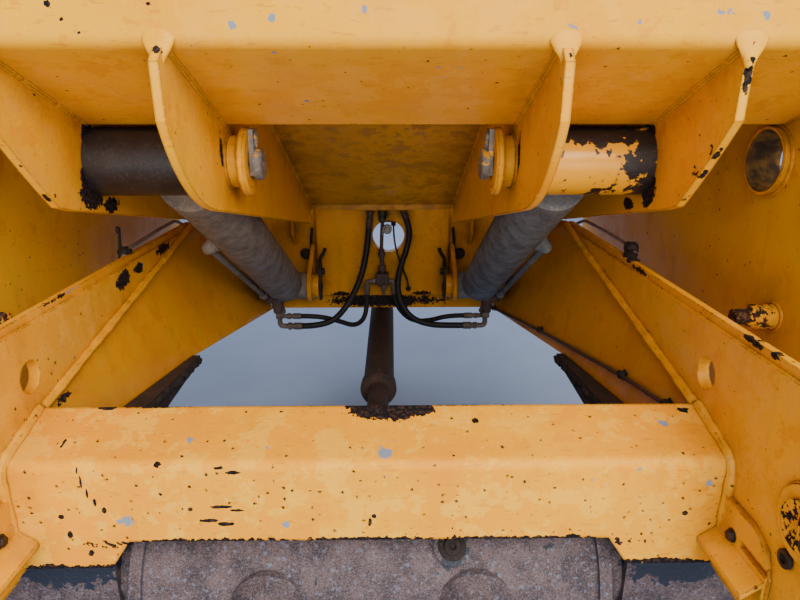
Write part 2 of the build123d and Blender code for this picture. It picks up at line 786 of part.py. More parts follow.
# Skip beam: closed folded section under the skip's front lip
outer = [
    (skip_bend_y, floor_z(skip_bend_y)),
    (skip_bend_y, skip_bend_z),
    (skip_edge_y, skip_edge_z),
    (skip_edge_y, floor_z(skip_edge_y)),
]
beam_body = yz_plate(outer, -skip_half, skip_half)
beam_body = fillet(bend_edge(beam_body, skip_bend_y, skip_bend_z), skip_bend_r)
inner = [
    (skip_bend_y + skip_wall, floor_z(skip_bend_y + skip_wall) + 1),
    (skip_bend_y + skip_wall, skip_bend_z + skip_wall),
    (skip_edge_y - skip_wall, skip_edge_z + skip_wall),
    (skip_edge_y - skip_wall, floor_z(skip_edge_y - skip_wall) + 1),
]
save("skip_beam", [beam_body - yz_plate(inner, -skip_half + skip_wall, skip_half - skip_wall)])

# Skip floor with a folded rear lip
floor = yz_plate(
    [
        (skip_bend_y, floor_z(skip_bend_y)),
        (frame_end_y, floor_z(frame_end_y)),
        (frame_end_y, floor_z(frame_end_y) - floor_lip),
        (frame_end_y + floor_t, floor_z(frame_end_y) - floor_lip),
        (frame_end_y + floor_t, floor_z(frame_end_y) + floor_t),
        (skip_bend_y, floor_z(skip_bend_y) + floor_t),
    ],
    -skip_half,
    skip_half,
)
save("skip_floor", [floor])

# Ribs: nose in front of the beam's bend, curved throat, low edge rising to the rear
rib_knee, rib_waist = 19.0, 85.0
throat_y, throat_up = 22.0, 63.0
outer_throat = 33.0
nose_run, nose_drop = 34.0, 3.0


def rib_at(x, back):
    front_y = skip_bend_y - rib_nose_out + back
    top = (skip_bend_y + back / 3, skip_bend_z + 3)
    knee = (front_y, skip_bend_z - rib_knee)
    waist = (front_y + 2, skip_bend_z - rib_waist)
    throat = (skip_bend_y + throat_y + back * outer_throat / outer_rib_back, rib_nose_z + throat_up)
    chin = (rib_nose_y, rib_nose_z)
    low = (rib_nose_y + nose_run, rib_low_z(rib_nose_y + nose_run) - nose_drop)
    rear_low = (frame_end_y, rib_low_z(frame_end_y))
    rear_top = (frame_end_y, floor_z(frame_end_y))
    front_top = (skip_bend_y + skip_wall, floor_z(skip_bend_y + skip_wall))
    outline = [
        Line(low, rear_low),
        Line(rear_low, rear_top),
        Line(rear_top, front_top),
        Line(front_top, (skip_bend_y + skip_wall, skip_bend_z + skip_wall)),
        Line((skip_bend_y + skip_wall, skip_bend_z + skip_wall), top),
        Line(top, knee),
        Line(knee, waist),
        ThreePointArc(waist, throat, chin),
        Line(chin, low),
    ]
    return yz_sheet(make_face(Wire([e.edge() for e in outline])), x - rib_t / 2, x + rib_t / 2) - beam_body


def eye_pin(s, x0, x1):
    return x_cyl(eye_pin_r, s * x0, s * x1, eye_y, eye_z)


rib_face_in = rib_in_x - rib_t / 2
collar_x = rib_face_in - collar_len
inner_ribs = []
outer_ribs = []
for s in SIDES:
    inner = rib_at(s * rib_in_x, 0) + x_cyl(collar_r, s * collar_x, s * rib_face_in, eye_y, eye_z)
    inner_ribs.append(inner - eye_pin(s, collar_x - 1, rib_in_x + rib_t))
    outer_ribs.append(rib_at(s * rib_out_x, outer_rib_back) - eye_pin(s, rib_out_x - rib_t, rib_out_x + rib_t))
save("inner_ribs", inner_ribs)
save("outer_ribs", outer_ribs)

# Eye pin ends and their keepers on the ribs
pin_ends = []
keepers = []
for s in SIDES:
    pin_ends.append(eye_pin(s, collar_x, rib_in_x + rib_t / 2))
    pin_ends.append(eye_pin(s, rib_out_x - rib_t / 2, rib_out_x + rib_t))
    half = eye_keeper_w / 2
    keeper_x = collar_x - eye_keeper_t
    keepers.append(box(s * keeper_x, s * collar_x, eye_y - half, eye_y + half, eye_z - eye_keeper_low, eye_z + eye_keeper_up))
save("eye_pin_ends", pin_ends)
save("eye_keepers", keepers)

# Cheeks: outer plates from the skip floor down to the tipping pivots, with tubes and pegs
beam_slope = (skip_bend_z - skip_edge_z) / (skip_edge_y - skip_bend_y)
cheek_front = 40.0
cheek_low_y, cheek_low_z = -1060.0, -60.0
heel = 66.0
outline = [
    (skip_edge_y, floor_z(skip_edge_y)),
    (skip_edge_y, skip_edge_z),
    (skip_bend_y + cheek_front, skip_bend_z - cheek_front * beam_slope),
    (pivot_y - heel - 6, pivot_z + 40),
    (pivot_y - heel - 6, pivot_z - 30),
    (pivot_y - 40, pivot_z - heel),
    (pivot_y + 60, pivot_z - heel),
    (cheek_low_y, cheek_low_z),
    (frame_end_y, pivot_z + 50),
    (frame_end_y, floor_z(frame_end_y)),
]
cheeks = []
access = []
pegs = []
for s in SIDES:
    cheek = yz_plate(outline, s * cheek_x, s * (cheek_x + cheek_t))
    boss_ends = (s * (cheek_x - pivot_boss_t), s * cheek_x)
    cheek += x_cyl(pivot_boss_r, *boss_ends, pivot_y, pivot_z)
    cheek -= x_cyl(pivot_pin_r + pin_fit, s * (cheek_x - 40), s * (cheek_x + 60), pivot_y, pivot_z)
    cheek -= x_cyl(access_r, s * (cheek_x - 5), s * (cheek_x + cheek_t + 5), eye_y, eye_z)
    cheeks.append(cheek)
    tube_x = cheek_x - cheek_t
    tube = x_cyl(access_r, s * tube_x, s * (tube_x + access_len), eye_y, eye_z)
    access.append(tube - x_cyl(access_bore_r, s * (tube_x - 1), s * (tube_x + access_len + 1), eye_y, eye_z))
    turned = make_face(
        Polyline(
            (0, 0),
            (peg_r, 0),
            (peg_r, peg_len - peg_round),
            (peg_tip_r, peg_len),
            (peg_tip_r, peg_len + peg_tip_len),
            (0, peg_len + peg_tip_len),
            close=True,
        )
    )
    pegs.append(Pos(s * cheek_x, peg_y, peg_z) * Rot(0, -90 * s, 0) * revolve(Plane.XZ * turned, Axis.Z))
save("cheeks", cheeks)
save("access_tubes", access)
save("guide_pegs", pegs)
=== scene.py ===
import math
import bmesh
import bpy
import numpy as np
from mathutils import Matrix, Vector


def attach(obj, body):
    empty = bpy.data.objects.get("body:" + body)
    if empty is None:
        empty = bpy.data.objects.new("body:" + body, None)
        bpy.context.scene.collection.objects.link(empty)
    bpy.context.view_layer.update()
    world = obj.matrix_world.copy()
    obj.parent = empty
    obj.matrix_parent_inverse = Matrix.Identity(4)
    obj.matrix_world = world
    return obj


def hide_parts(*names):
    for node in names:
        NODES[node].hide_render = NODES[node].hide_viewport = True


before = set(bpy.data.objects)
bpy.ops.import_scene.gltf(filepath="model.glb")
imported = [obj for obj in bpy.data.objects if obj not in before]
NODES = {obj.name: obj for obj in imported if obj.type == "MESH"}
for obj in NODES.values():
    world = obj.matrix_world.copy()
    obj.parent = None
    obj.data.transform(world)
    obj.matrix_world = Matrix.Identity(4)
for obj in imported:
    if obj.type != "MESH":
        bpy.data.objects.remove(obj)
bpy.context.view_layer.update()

# Front chassis section of a front-tip dumper: looks, hoses, welds, bolts and fittings.
# Metres. +X right, +Y to the rear, +Z up, origin on the articulation pin.

SIDES = ((-1, "left"), (1, "right"))


def mm(*values):
    """Point in metres from millimetres."""
    return np.array(values, dtype=float) * 0.001


# Places and sizes of the frame, in metres
eye_y, eye_z = mm(-1186, 415)
base_y, base_z = mm(-295, -60)
pivot_y, pivot_z = mm(-1640, 50)
axle_y, axle_z = mm(-1350, -226)
ground_z = -0.430  # the hubs' flanges stand on it
case_x, case_ring = 0.357, 0.116  # bolts between the axle's case and its arms
stud_x, stud_ring = 0.722, 0.1675  # wheel studs on a hub's flange
wide_edge, fine_edge = 0.0008, 0.0006  # bevels of small pieces
ripple = 0.006  # from one ripple of a weld to the next


def srgb(code):
    """Linear red, green, blue and alpha of an sRGB hex colour."""
    c = np.array([int(code[i:i + 2], 16) for i in (1, 3, 5)]) / 255.0
    lin = np.where(c <= 0.04045, c / 12.92, ((c + 0.055) / 1.055) ** 2.4)
    return (*lin.tolist(), 1.0)


def add(tree, kind, inputs=(), out=0, **settings):
    """One shader node, given as one of its outputs. Inputs go by name or in the node's own order, as numbers,
    links or hex colours; settings are the node's properties."""
    n = tree.nodes.new("ShaderNode" + kind)
    for key, value in settings.items():
        setattr(n, key, value)
    for key, value in inputs.items() if isinstance(inputs, dict) else enumerate(inputs):
        if isinstance(value, bpy.types.NodeSocket):
            tree.links.new(value, n.inputs[key])
        else:
            n.inputs[key].default_value = srgb(value) if isinstance(value, str) else value
    return n.outputs[out] if n.outputs else n


# A Map Range node with this eases its value at both ends of the range
EASED = {"interpolation_type": "SMOOTHSTEP"}
# Paint is gone where the chip field passes the second value, and whole below the first
CHIP_FROM, CHIP_TO = 0.885, 0.90


def new_finish(name):
    """Empty material; returns it with its tree, its shader and its Object coordinates."""
    m = bpy.data.materials.new(name)
    m.use_nodes = True
    tree = m.node_tree
    tree.nodes.clear()
    shader = add(tree, "BsdfPrincipled").node
    add(tree, "OutputMaterial", [shader.outputs[0]])
    return m, tree, shader, add(tree, "TexCoord", out="Object")


def edges(tree, radius):
    """Rounded normal within radius of an edge, and a mask that is 1 on the sharpest edges."""
    soft = add(tree, "Bevel", {"Radius": radius}, samples=2)
    flat = add(tree, "NewGeometry", out="Normal")
    dot = add(tree, "VectorMath", [soft, flat], operation="DOT_PRODUCT", out="Value")
    return soft, add(tree, "MapRange", [dot, 0.995, 0.80, 0, 1], **EASED)


def shade_of_hollows(tree, reach):
    """Painted shade: 1 in corners and under other pieces, where shade falls, 0 in the open."""
    open_air = add(tree, "AmbientOcclusion", {"Distance": reach}, samples=2, out="AO")
    return add(tree, "MapRange", [open_air, 0.95, 0.35, 0, 1], **EASED)


def spots(tree, at, places):
    """Highest of soft ellipsoids, each 1.35 strength (1 - r) at r half lengths from its centre; a place is
    (centre mm, half lengths mm, strength), and a negative strength lowers the rest."""
    total, lowered = 0.0, 0.0
    for centre, half, strength in places:
        off = [at, tuple(1 / mm(*half)), tuple(-mm(*centre) / mm(*half))]
        off = add(tree, "VectorMath", off, operation="MULTIPLY_ADD")
        far = add(tree, "VectorMath", [off], operation="LENGTH", out="Value")
        cone = add(tree, "Math", [far, -1.35 * strength, 1.35 * strength], operation="MULTIPLY_ADD")
        if strength > 0:
            total = add(tree, "Math", [cone, total], operation="MAXIMUM")
        else:
            lowered = add(tree, "Math", [cone, lowered], operation="MINIMUM")
    return add(tree, "Math", [total, lowered], operation="ADD")


def specks(tree, at, cell_mm, radius_mm, least):
    """Small chips: one in each Voronoi cell whose random value passes least, the larger the further it is
    past."""
    cells = add(tree, "TexVoronoi", {"Vector": at, "Scale": 1000 / cell_mm}).node
    chance, far = cells.outputs["Color"], cells.outputs["Distance"]
    widest = radius_mm / cell_mm
    size = add(tree, "MapRange", [chance, least, least + 0.32, 0.3 * radius_mm / cell_mm, widest], **EASED)
    far = add(tree, "Math", [far, size], operation="DIVIDE")
    dot = add(tree, "MapRange", [far, 1.15, 0.85, 0, 1], **EASED)
    has_one = add(tree, "MapRange", [chance, least, least + 0.02, 0, 1], **EASED)
    return add(tree, "Math", [dot, has_one], operation="MULTIPLY")


def enamel(name, light="#FFBA00", deep="#F4A200", worn="#FDB52A", dirt_and_shade="#4E3510", bare=("#17151A", "#43302A"),
           wear=0.0, edge_wear=0.20, edge_mm=3.5, chips=0.64, marks=(), primer=(), grey_least=0.68, grime_and_shade=0.6,
           gloss=0.34, sheen=0.32):
    """Golden yellow machine enamel, sprayed in two coats on steel plate: a half-gloss skin with orange peel,
    chipped to dark oxide and to grey-blue primer; painted shade in its corners and soil in streaks make it
    darker and matt."""
    m, tree, shader, at = new_finish(name)
    soft, edge = edges(tree, edge_mm * 0.001)
    blotch = add(tree, "TexNoise", {"Vector": at, "Scale": 1000 / 45, "Detail": 4, "Roughness": 0.6})
    fine = add(tree, "TexNoise", {"Vector": at, "Scale": 1000 / 9, "Detail": 3, "Roughness": 0.6})
    # the next mask is painted shade: corners and places under other pieces are darkened with the soil colour
    # below
    hollow_shade = shade_of_hollows(tree, 0.07)
    # chips: where two noises, the edge and the named places add up
    field = add(tree, "Math", [blotch, 0.5], operation="MULTIPLY")
    field = add(tree, "Math", [fine, 0.8, field], operation="MULTIPLY_ADD")
    field = add(tree, "Math", [edge, edge_wear, field], operation="MULTIPLY_ADD")
    if marks:
        field = add(tree, "Math", [field, spots(tree, at, marks)], operation="ADD")
    chip = add(tree, "MapRange", [field, CHIP_FROM - wear, CHIP_TO - wear, 0, 1], **EASED)
    # specks: small chips whose outline a fine noise makes ragged
    ragged = add(tree, "TexNoise", {"Vector": at, "Scale": 420, "Detail": 3, "Roughness": 0.8}, out="Color")
    ragged = add(tree, "VectorMath", {0: ragged, "Scale": 0.010}, operation="SCALE")
    ragged = add(tree, "VectorMath", [at, ragged], operation="ADD")
    chip = add(tree, "Math", [chip, specks(tree, ragged, 14, 2.5, chips - 0.06)], operation="MAXIMUM")
    # painted shade in hollows, from ambient occlusion, and soil in streaks down the plates
    streak = add(tree, "Mapping", {"Vector": at, "Scale": (1, 1, 0.22)})
    streak = add(tree, "TexNoise", {"Vector": streak, "Scale": 1000 / 60, "Detail": 3, "Roughness": 0.6})
    hollow_shade = add(tree, "Math", [hollow_shade, 0.9], operation="MULTIPLY")
    streak = add(tree, "MapRange", [streak, 0.52, 0.85, 0, 0.4], **EASED)
    soil_and_shade = add(tree, "Math", [hollow_shade, streak], operation="ADD")
    soil_and_shade = add(tree, "Math", [soil_and_shade, grime_and_shade], operation="MULTIPLY")
    patchy = add(tree, "MapRange", [blotch, 0.25, 0.65, 0.45, 1], **EASED)
    soil_and_shade = add(tree, "Math", [soil_and_shade, patchy], operation="MULTIPLY")
    soil_and_shade = add(tree, "Clamp", [soil_and_shade])
    shade = add(tree, "TexNoise", {"Vector": at, "Scale": 1000 / 320, "Detail": 3, "Roughness": 0.55})
    shade = add(tree, "MapRange", [shade, 0.3, 0.7, 0, 1], **EASED)
    paint = add(tree, "MixRGB", [shade, deep, light])
    # the top coat has worn thin in patches with a clear outline, and is rubbed in lines across
    thin = add(tree, "TexNoise", {"Vector": at, "Scale": 1000 / 62, "Detail": 5, "Roughness": 0.72})
    pale = add(tree, "MapRange", [thin, 0.52, 0.56, 0, 0.75], **EASED)
    paint = add(tree, "MixRGB", [pale, paint, worn])
    thick = add(tree, "MapRange", [thin, 0.44, 0.40, 0, 0.8], **EASED)
    paint = add(tree, "MixRGB", [thick, paint, deep])
    rubbed = add(tree, "Mapping", {"Vector": at, "Scale": (0.16, 1, 0.7), "Rotation": (0, 0.35, 0.2)})
    rubbed = add(tree, "TexNoise", {"Vector": rubbed, "Scale": 1000 / 5, "Detail": 2, "Roughness": 0.6})
    rubbed = add(tree, "MapRange", [rubbed, 0.62, 0.70, 0, 0.35], **EASED)
    paint = add(tree, "MixRGB", [rubbed, paint, "#C07C08"])
    # the soil colour goes in as painted shade in hollows and as real soil in streaks
    paint = add(tree, "MixRGB", [soil_and_shade, paint, dirt_and_shade])
    # what a chip shows: oxide and rust, or primer
    rust = add(tree, "TexNoise", {"Vector": at, "Scale": 1000 / 6, "Detail": 3, "Roughness": 0.55})
    rust = add(tree, "MapRange", [rust, 0.45, 0.66, 0, 1], **EASED)
    rust = add(tree, "MixRGB", [rust, *bare])
    grey = add(tree, "TexNoise", {"Vector": at, "Scale": 1000 / 70, "Detail": 0, "Roughness": 0.55})
    grey = add(tree, "MapRange", [grey, grey_least, grey_least + 0.03, 0, 1], **EASED)
    if primer:
        shown = add(tree, "Math", [fine, 0.7, spots(tree, at, primer)], operation="MULTIPLY_ADD")
        shown = add(tree, "MapRange", [shown, 0.56, 0.60, 0, 1], **EASED)
        chip = add(tree, "Math", [chip, shown], operation="MAXIMUM")
        grey = add(tree, "Math", [grey, shown], operation="MAXIMUM")
    under = add(tree, "MixRGB", [grey, rust, "#8793A8"])
    tree.links.new(add(tree, "MixRGB", [chip, paint, under]), shader.inputs["Base Color"])
    rough = add(tree, "MapRange", [blotch, 0.3, 0.7, gloss - 0.05, gloss + 0.12], **EASED)
    rough = add(tree, "Math", [soil_and_shade, 0.35, rough], operation="MULTIPLY_ADD")
    matt = add(tree, "Math", [chip, 0.85], operation="MULTIPLY")
    tree.links.new(add(tree, "Math", [rough, matt], operation="MAXIMUM"), shader.inputs["Roughness"])
    # orange peel of the spray, and dents of wear
    peel = add(tree, "TexNoise", {"Vector": at, "Scale": 1000 / 2.6, "Detail": 1, "Roughness": 0.55})
    peel = add(tree, "Math", [peel, 0.14], operation="MULTIPLY")
    dents = add(tree, "TexNoise", {"Vector": at, "Scale": 1000 / 42, "Detail": 2, "Roughness": 0.55})
    height = add(tree, "Math", [dents, 1.4, peel], operation="MULTIPLY_ADD")
    bump = add(tree, "Bump", {"Height": height, "Normal": soft, "Distance": 0.0008, "Strength": 0.8})
    tree.links.new(bump, shader.inputs["Normal"])
    shader.inputs["IOR"].default_value = 1.45
    shader.inputs["Specular IOR Level"].default_value = sheen
    return m


def rough_metal(name, low, high, dust, grain_mm=3.0, rough=0.75, relief=0.0012, metal=0.0, cloud=0.5,
                patch=None, patch_share=0.55, places=()):
    """Cast, rusted, plated or pitted metal: two tones in grains, dust in blotches and pits, and patches of
    another finish on it."""
    m, tree, shader, at = new_finish(name)
    soft, edge = edges(tree, 0.002)
    blotch = add(tree, "TexNoise", {"Vector": at, "Scale": 1000 / 38, "Detail": 5, "Roughness": 0.6})
    grain = add(tree, "TexNoise", {"Vector": at, "Scale": 1000 / grain_mm, "Detail": 4, "Roughness": 0.65})
    pit_mm = grain_mm * 3.2
    pits = add(tree, "TexNoise", {"Vector": at, "Scale": 1000 / pit_mm, "Detail": 3, "Roughness": 0.6})
    tone = add(tree, "Math", [blotch, cloud], operation="MULTIPLY")
    tone = add(tree, "Math", [grain, 1 - cloud, tone], operation="MULTIPLY_ADD")
    tone = add(tree, "MapRange", [tone, 0.38, 0.62, 0, 1], **EASED)
    colour = add(tree, "MixRGB", [tone, low, high])
    dusty = add(tree, "MapRange", [pits, 0.54, 0.72, 0, 0.6], **EASED)
    colour = add(tree, "MixRGB", [dusty, colour, dust])
    rough_at = add(tree, "MapRange", [grain, 0.3, 0.7, rough - 0.08, rough + 0.1], **EASED)
    if patch:
        flakes = add(tree, "TexNoise", {"Vector": at, "Scale": 1000 / 16, "Detail": 5, "Roughness": 0.62})
        field = add(tree, "Math", [blotch, 0.5], operation="MULTIPLY")
        field = add(tree, "Math", [flakes, 0.6, field], operation="MULTIPLY_ADD")
        if places:
            field = add(tree, "Math", [field, spots(tree, at, places)], operation="ADD")
        mask = add(tree, "MapRange", [field, patch_share, patch_share + 0.02, 0, 1], **EASED)
        colour = add(tree, "MixRGB", [mask, colour, patch])
        smoother = add(tree, "Math", [mask, 0.28], operation="MULTIPLY")
        rough_at = add(tree, "Math", [rough_at, smoother], operation="SUBTRACT")
    edge = add(tree, "Math", [edge, 0.25], operation="MULTIPLY")
    tree.links.new(add(tree, "MixRGB", [edge, colour, dust]), shader.inputs["Base Color"])
    tree.links.new(rough_at, shader.inputs["Roughness"])
    height = add(tree, "Math", [pits, 0.8], operation="MULTIPLY")
    height = add(tree, "Math", [grain, 0.45, height], operation="MULTIPLY_ADD")
    bump = add(tree, "Bump", {"Height": height, "Normal": soft, "Distance": relief, "Strength": 0.9})
    tree.links.new(bump, shader.inputs["Normal"])
    shader.inputs["Metallic"].default_value = metal
    return m


def beside(places):
    """The same places on both sides of the machine."""
    return [((side * x, y, z), half, strength) for (x, y, z), half, strength in places for side in (-1, 1)]


# Chips, primer patches and dark marks seen on the object, some of them painted shade as noted: centre in mm,
# half lengths in mm, strength
cross_marks = [
    ((30, -1388, 67), (92, 34, 14), 0.72),
    ((22, -1472, 43), (13, 12, 9), 0.62),
    ((262, -1491, 41), (46, 6, 4.5), 0.43),
    ((326, -1491, 42), (22, 6, 6), 0.50),
    ((-432, -1450, 49), (5, 18, 8), 0.41),
    ((-289, -1490, 40), (11, 9, 8), 0.58),
    ((-397, -1492, 34), (2.2, 6, 13), 0.60),
    ((-394, -1492, 14), (2.2, 5, 13), 0.60),
    ((-388, -1492, -5), (2.4, 5, 12), 0.60),
    ((-379, -1492, -20), (3.4, 5, 9), 0.54),
    ((-368, -1492, -32), (4, 5, 6), 0.54),
    ((-206, -1492, 33), (14, 7, 4.4), 0.56),
    ((-186, -1492, 26), (15, 7, 4.6), 0.56),
    ((-226, -1492, -50), (20, 5, 4), 0.60),
    ((-202, -1492, -56), (17, 5, 4.6), 0.56),
    ((-208, -1492, -28), (22, 5, 3.4), 0.60),
    ((-184, -1492, -34), (16, 5, 3.4), 0.56),
    ((-421, -1492, -71), (6, 5, 10), 0.46),
    ((-396, -1492, -102), (7, 5, 11), 0.50),
    ((-249, -1492, -32), (6, 5, 5), 0.48),
    ((0, -1492, -52), (5, 5, 15), 0.43),
    ((154, -1414, 60), (8, 8, 5), 0.43),
    ((471, -1394, 65), (14, 10, 6), 0.43),
    ((-398, -1383, 68), (30, 9, 7), 0.43),
    ((-327, -1380, 70), (90, 6, 6), 0.43),
    ((70, -1380, 70), (190, 5, 6), 0.38),
    ((-120, -1380, 70), (120, 4, 6), 0.29),
    ((-215, -1493, -89), (230, 8, 15), 0.45),
    ((0, -1493, -89), (190, 8, 14), 0.45),
    ((215, -1493, -89), (230, 8, 15), 0.45),
    ((-430, -1493, -129), (150, 8, 13), 0.44),
    ((430, -1493, -129), (150, 8, 14), 0.46),
    # the last three are holes in the beam's front, drawn as dark spots of bare colour: painted shade in the
    # holes
    ((-429, -1494, -42), (5.5, 6, 5.5), 0.9),
    ((6, -1494, -45), (5, 6, 5), 0.9),
    ((444, -1494, -44), (5.5, 6, 5.5), 0.9),
]
cross_primer = [
    ((470, -1492, 5), (9, 6, 10), 0.34),
    ((-119, -1492, -57), (11, 6, 11), 0.34),
    ((-338, -1492, -50), (22, 6, 14), 0.30),
    ((430, -1420, 58), (12, 10, 6), 0.35),
    ((-255, -1446, 50), (14, 12, 6), 0.30),
    ((371, -1492, 26), (8, 6, 5), 0.30),
]
upper_marks = [
    ((-357, -1443, 611), (8, 6, 9), 0.27),
    ((-378, -1443, 571), (7, 6, 6), 0.27),
    ((-344, -1443, 596), (5, 6, 5), 0.27),
    ((-244, -1443, 612), (7, 6, 6), 0.27),
    ((-327, -1443, 582), (5, 6, 5), 0.34),
    ((229, -1443, 577), (7, 5, 5), 0.34),
    ((-250, -1448, 566), (10, 12, 14), 0.26),
]
upper_primer = [
    ((-151, -1443, 591), (9, 6, 10), 0.36),
    ((-104, -1443, 598), (8, 6, 7), 0.36),
    ((2, -1443, 607), (6, 6, 7), 0.36),
    ((246, -1443, 586), (8, 6, 8), 0.36),
    ((321, -1443, 594), (5, 6, 5), 0.36),
    ((-89, -1292, 509), (6, 9, 5), 0.36),
    ((-107, -1427, 563), (5, 6, 5), 0.41),
    ((238, -1443, 590), (26, 6, 14), 0.19),
    ((418, -1443, 604), (40, 6, 14), 0.19),
    ((468, -1443, 600), (9, 6, 12), 0.36),
]
rib_marks = [
    ((-450, -1206, 435), (7, 31, 70), 0.62),
    ((-450, -1223, 366), (7, 46, 33), 0.66),
    ((-450, -1159, 340), (7, 38, 18), 0.64),
    ((-450, -1239, 395), (7, 16, 22), 0.43),
    ((450, -1195, 449), (7, 34, 70), 0.66),
    ((450, -1219, 372), (7, 38, 38), 0.64),
    ((450, -1143, 339), (7, 32, 16), 0.60),
    ((-238, -1447, 488), (9, 16, 24), 0.46),
    ((-238, -1426, 476), (9, 14, 16), 0.42),
    ((-238, -1450, 562), (9, 14, 12), 0.46),
    ((-238, -1344, 385), (9, 20, 16), 0.49),
    ((456, -1443, 537), (9, 14, 40), 0.38),
    ((456, -1366, 418), (9, 28, 16), 0.59),
    ((456, -1328, 379), (9, 28, 16), 0.42),
    ((456, -1397, 447), (9, 20, 20), 0.42),
    ((-456, -1331, 381), (9, 24, 14), 0.52),
    ((-456, -1337, 516), (9, 9, 9), 0.46),
    ((238, -1452, 542), (9, 14, 36), 0.31),
    ((238, -1428, 461), (9, 16, 26), 0.35),
    ((-232, -1238, 430), (6, 14, 40), 0.46),
    ((232, -1238, 430), (6, 14, 40), 0.52),
]
side_marks = [
    ((-500, -1051, 175), (8, 46, 27), 0.53),
    ((-500, -971, 178), (8, 33, 16), 0.52),
    ((-500, -828, 189), (9, 66, 18), 0.50),
    ((-500, -1402, 212), (12, 28, 9), 0.41),
    # these five lie along the side plates' top edges: painted shadow of the gap to the cheek behind, with chips
    # on the edge
    ((506, -1477, 207), (18, 38, 8), 0.46),
    ((506, -1098, 203), (18, 76, 7), 0.43),
    ((506, -1520, 207), (18, 18, 8), 0.43),
    ((506, -1332, 207), (18, 70, 5), 0.22),
    ((-506, -1252, 208), (18, 130, 5), 0.24),
    ((500, -1604, 62), (8, 22, 12), 0.41),
    ((500, -1625, 94), (8, 18, 10), 0.41),
]
rear_marks = [
    # the first is a dark band along the bottom of the rear plate, under the tower's lower lip
    ((0, -190, -150), (300, 60, 34), 0.51),
    ((-150, -200, -120), (60, 30, 14), 0.33),
    ((130, -200, -118), (70, 30, 14), 0.36),
]
slant_marks = [
    ((-492, -1330, 58), (14, 40, 12), 0.39),
    ((484, -1300, 45), (10, 60, 10), 0.26),
]

# Enamels: golden and half-gloss where clean, brown and matt where soil lies and where shade is painted into
# corners; each piece has its own wear
panel = enamel("golden enamel on plate", marks=side_marks, wear=0.0)
upper = enamel(
    "golden enamel on folded beam", wear=-0.005, grime_and_shade=0.4, sheen=0.22, marks=upper_marks, primer=upper_primer,
    chips=0.69)
rib_coat = enamel(
    "golden enamel on rib edges", light="#FFBE00", deep="#FAA800", wear=0.006, edge_wear=0.34, edge_mm=4.5,
    grime_and_shade=0.6, sheen=0.26, grey_least=0.9, marks=rib_marks, chips=0.70)
cross = enamel(
    "golden enamel on cross-beam", light="#FFB400", deep="#F6A000", worn="#FFBE34", wear=0.014, edge_wear=0.36,
    edge_mm=6.0, grime_and_shade=0.4, sheen=0.2, marks=cross_marks, primer=cross_primer, chips=0.60, grey_least=0.74)
inside = enamel(
    "golden enamel with soil and painted shade", light="#ECA200", deep="#D88E00", worn="#DD9C0C", wear=0.0, grime_and_shade=0.95,
    marks=rear_marks, chips=0.72)
# cheeks: a darker copy of the golden enamel, painted shade for cheeks that stand in shadow
shaded = enamel(
    "golden enamel darkened as painted shade", light="#F0B800", deep="#DAA200", worn="#E4B41C", wear=0.0, grime_and_shade=0.8,
    chips=0.68)
shiny = enamel(
    "glossy golden enamel", light="#F0A200", deep="#DC8E00", worn="#E29E12", wear=-0.01, grime_and_shade=0.6, gloss=0.16,
    sheen=0.5, marks=slant_marks, chips=0.74)
under_skip = enamel(
    "rust-stained enamel under the floor", light="#E8A61C", deep="#CA8E1C", worn="#B47E2C", wear=0.01,
    grime_and_shade=0.9, dirt_and_shade="#5A3A20", chips=0.68)
peg_coat = enamel(
    "flaked enamel on pegs", wear=0.23, edge_wear=0.2, grime_and_shade=0.8,
    marks=beside([((607, -1270, 170), (14, 26, 26), 0.5)]), bare=("#2A201C", "#6B4630"))
pin_coat = enamel("chipped enamel on pins", wear=0.20, edge_wear=0.2, grime_and_shade=0.8, bare=("#141215", "#33282A"))
# Metals: pin heads are dull worn zinc; castings rough sand-cast skin with flakes of blue-grey paint; rams
# matt paint over pimpled rust; pipes and fittings small steel whose zinc is gone, with rust in the grooves
head_coat = rough_metal(
    "chipped zinc on pin heads", "#5F5A58", "#8E8A88", "#B4AEA4", grain_mm=2.4, rough=0.5, relief=0.0008,
    patch="#E5A81C", patch_share=0.60)
casting = rough_metal(
    "rusted cast iron with blue-grey paint", "#2B2834", "#716166", "#7E86A2", grain_mm=2.2, relief=0.0026,
    patch="#1A2438", patch_share=0.69, cloud=0.34,
    places=beside([((480, -1430, -165), (120, 110, 64), 0.42)]) + [((121, -1450, -135), (34, 40, 36), 0.4)])
dark_iron = rough_metal("oiled cast iron", "#2C2A2B", "#46413E", "#6A5E55", grain_mm=2.5, rough=0.6)
barrel_left = rough_metal(
    "rusted grey ram paint", "#5A534D", "#918579", "#A6947F", grain_mm=1.7, patch="#666872", patch_share=0.62,
    relief=0.0013)
barrel_right = rough_metal(
    "blue-grey ram paint", "#484C54", "#7B7F86", "#98958C", grain_mm=1.7, patch="#C98D22", patch_share=0.84,
    relief=0.0013, places=[((350, -1060, 330), (40, 50, 40), 0.12)])
oxide = rough_metal("dark mill oxide and rust", "#211B1C", "#3E2C26", "#5F402F", grain_mm=2.2)
dirt_crust = rough_metal(
    "dried black dirt", "#151214", "#2A2222", "#4A3A30", grain_mm=2.6, rough=0.85, relief=0.002)
pipe_rust = rough_metal(
    "rusted steel pipe", "#3B2E29", "#5A4438", "#7B5A44", grain_mm=1.6, relief=0.0004, rough=0.6)
pale_pipe = rough_metal(
    "dull grey steel pipe", "#7C7678", "#A39C9C", "#B8AEA6", grain_mm=1.6, relief=0.0003, rough=0.5, metal=0.3)
ferrule_rust = rough_metal(
    "dull crimped ferrule with rust", "#54453E", "#7E726A", "#9A8E82", grain_mm=1.2, relief=0.0003, rough=0.55,
    metal=0.2)
fitting_rust = rough_metal(
    "rusted hydraulic fittings", "#33282A", "#54403A", "#7A5A48", grain_mm=1.5, relief=0.0006, rough=0.6)
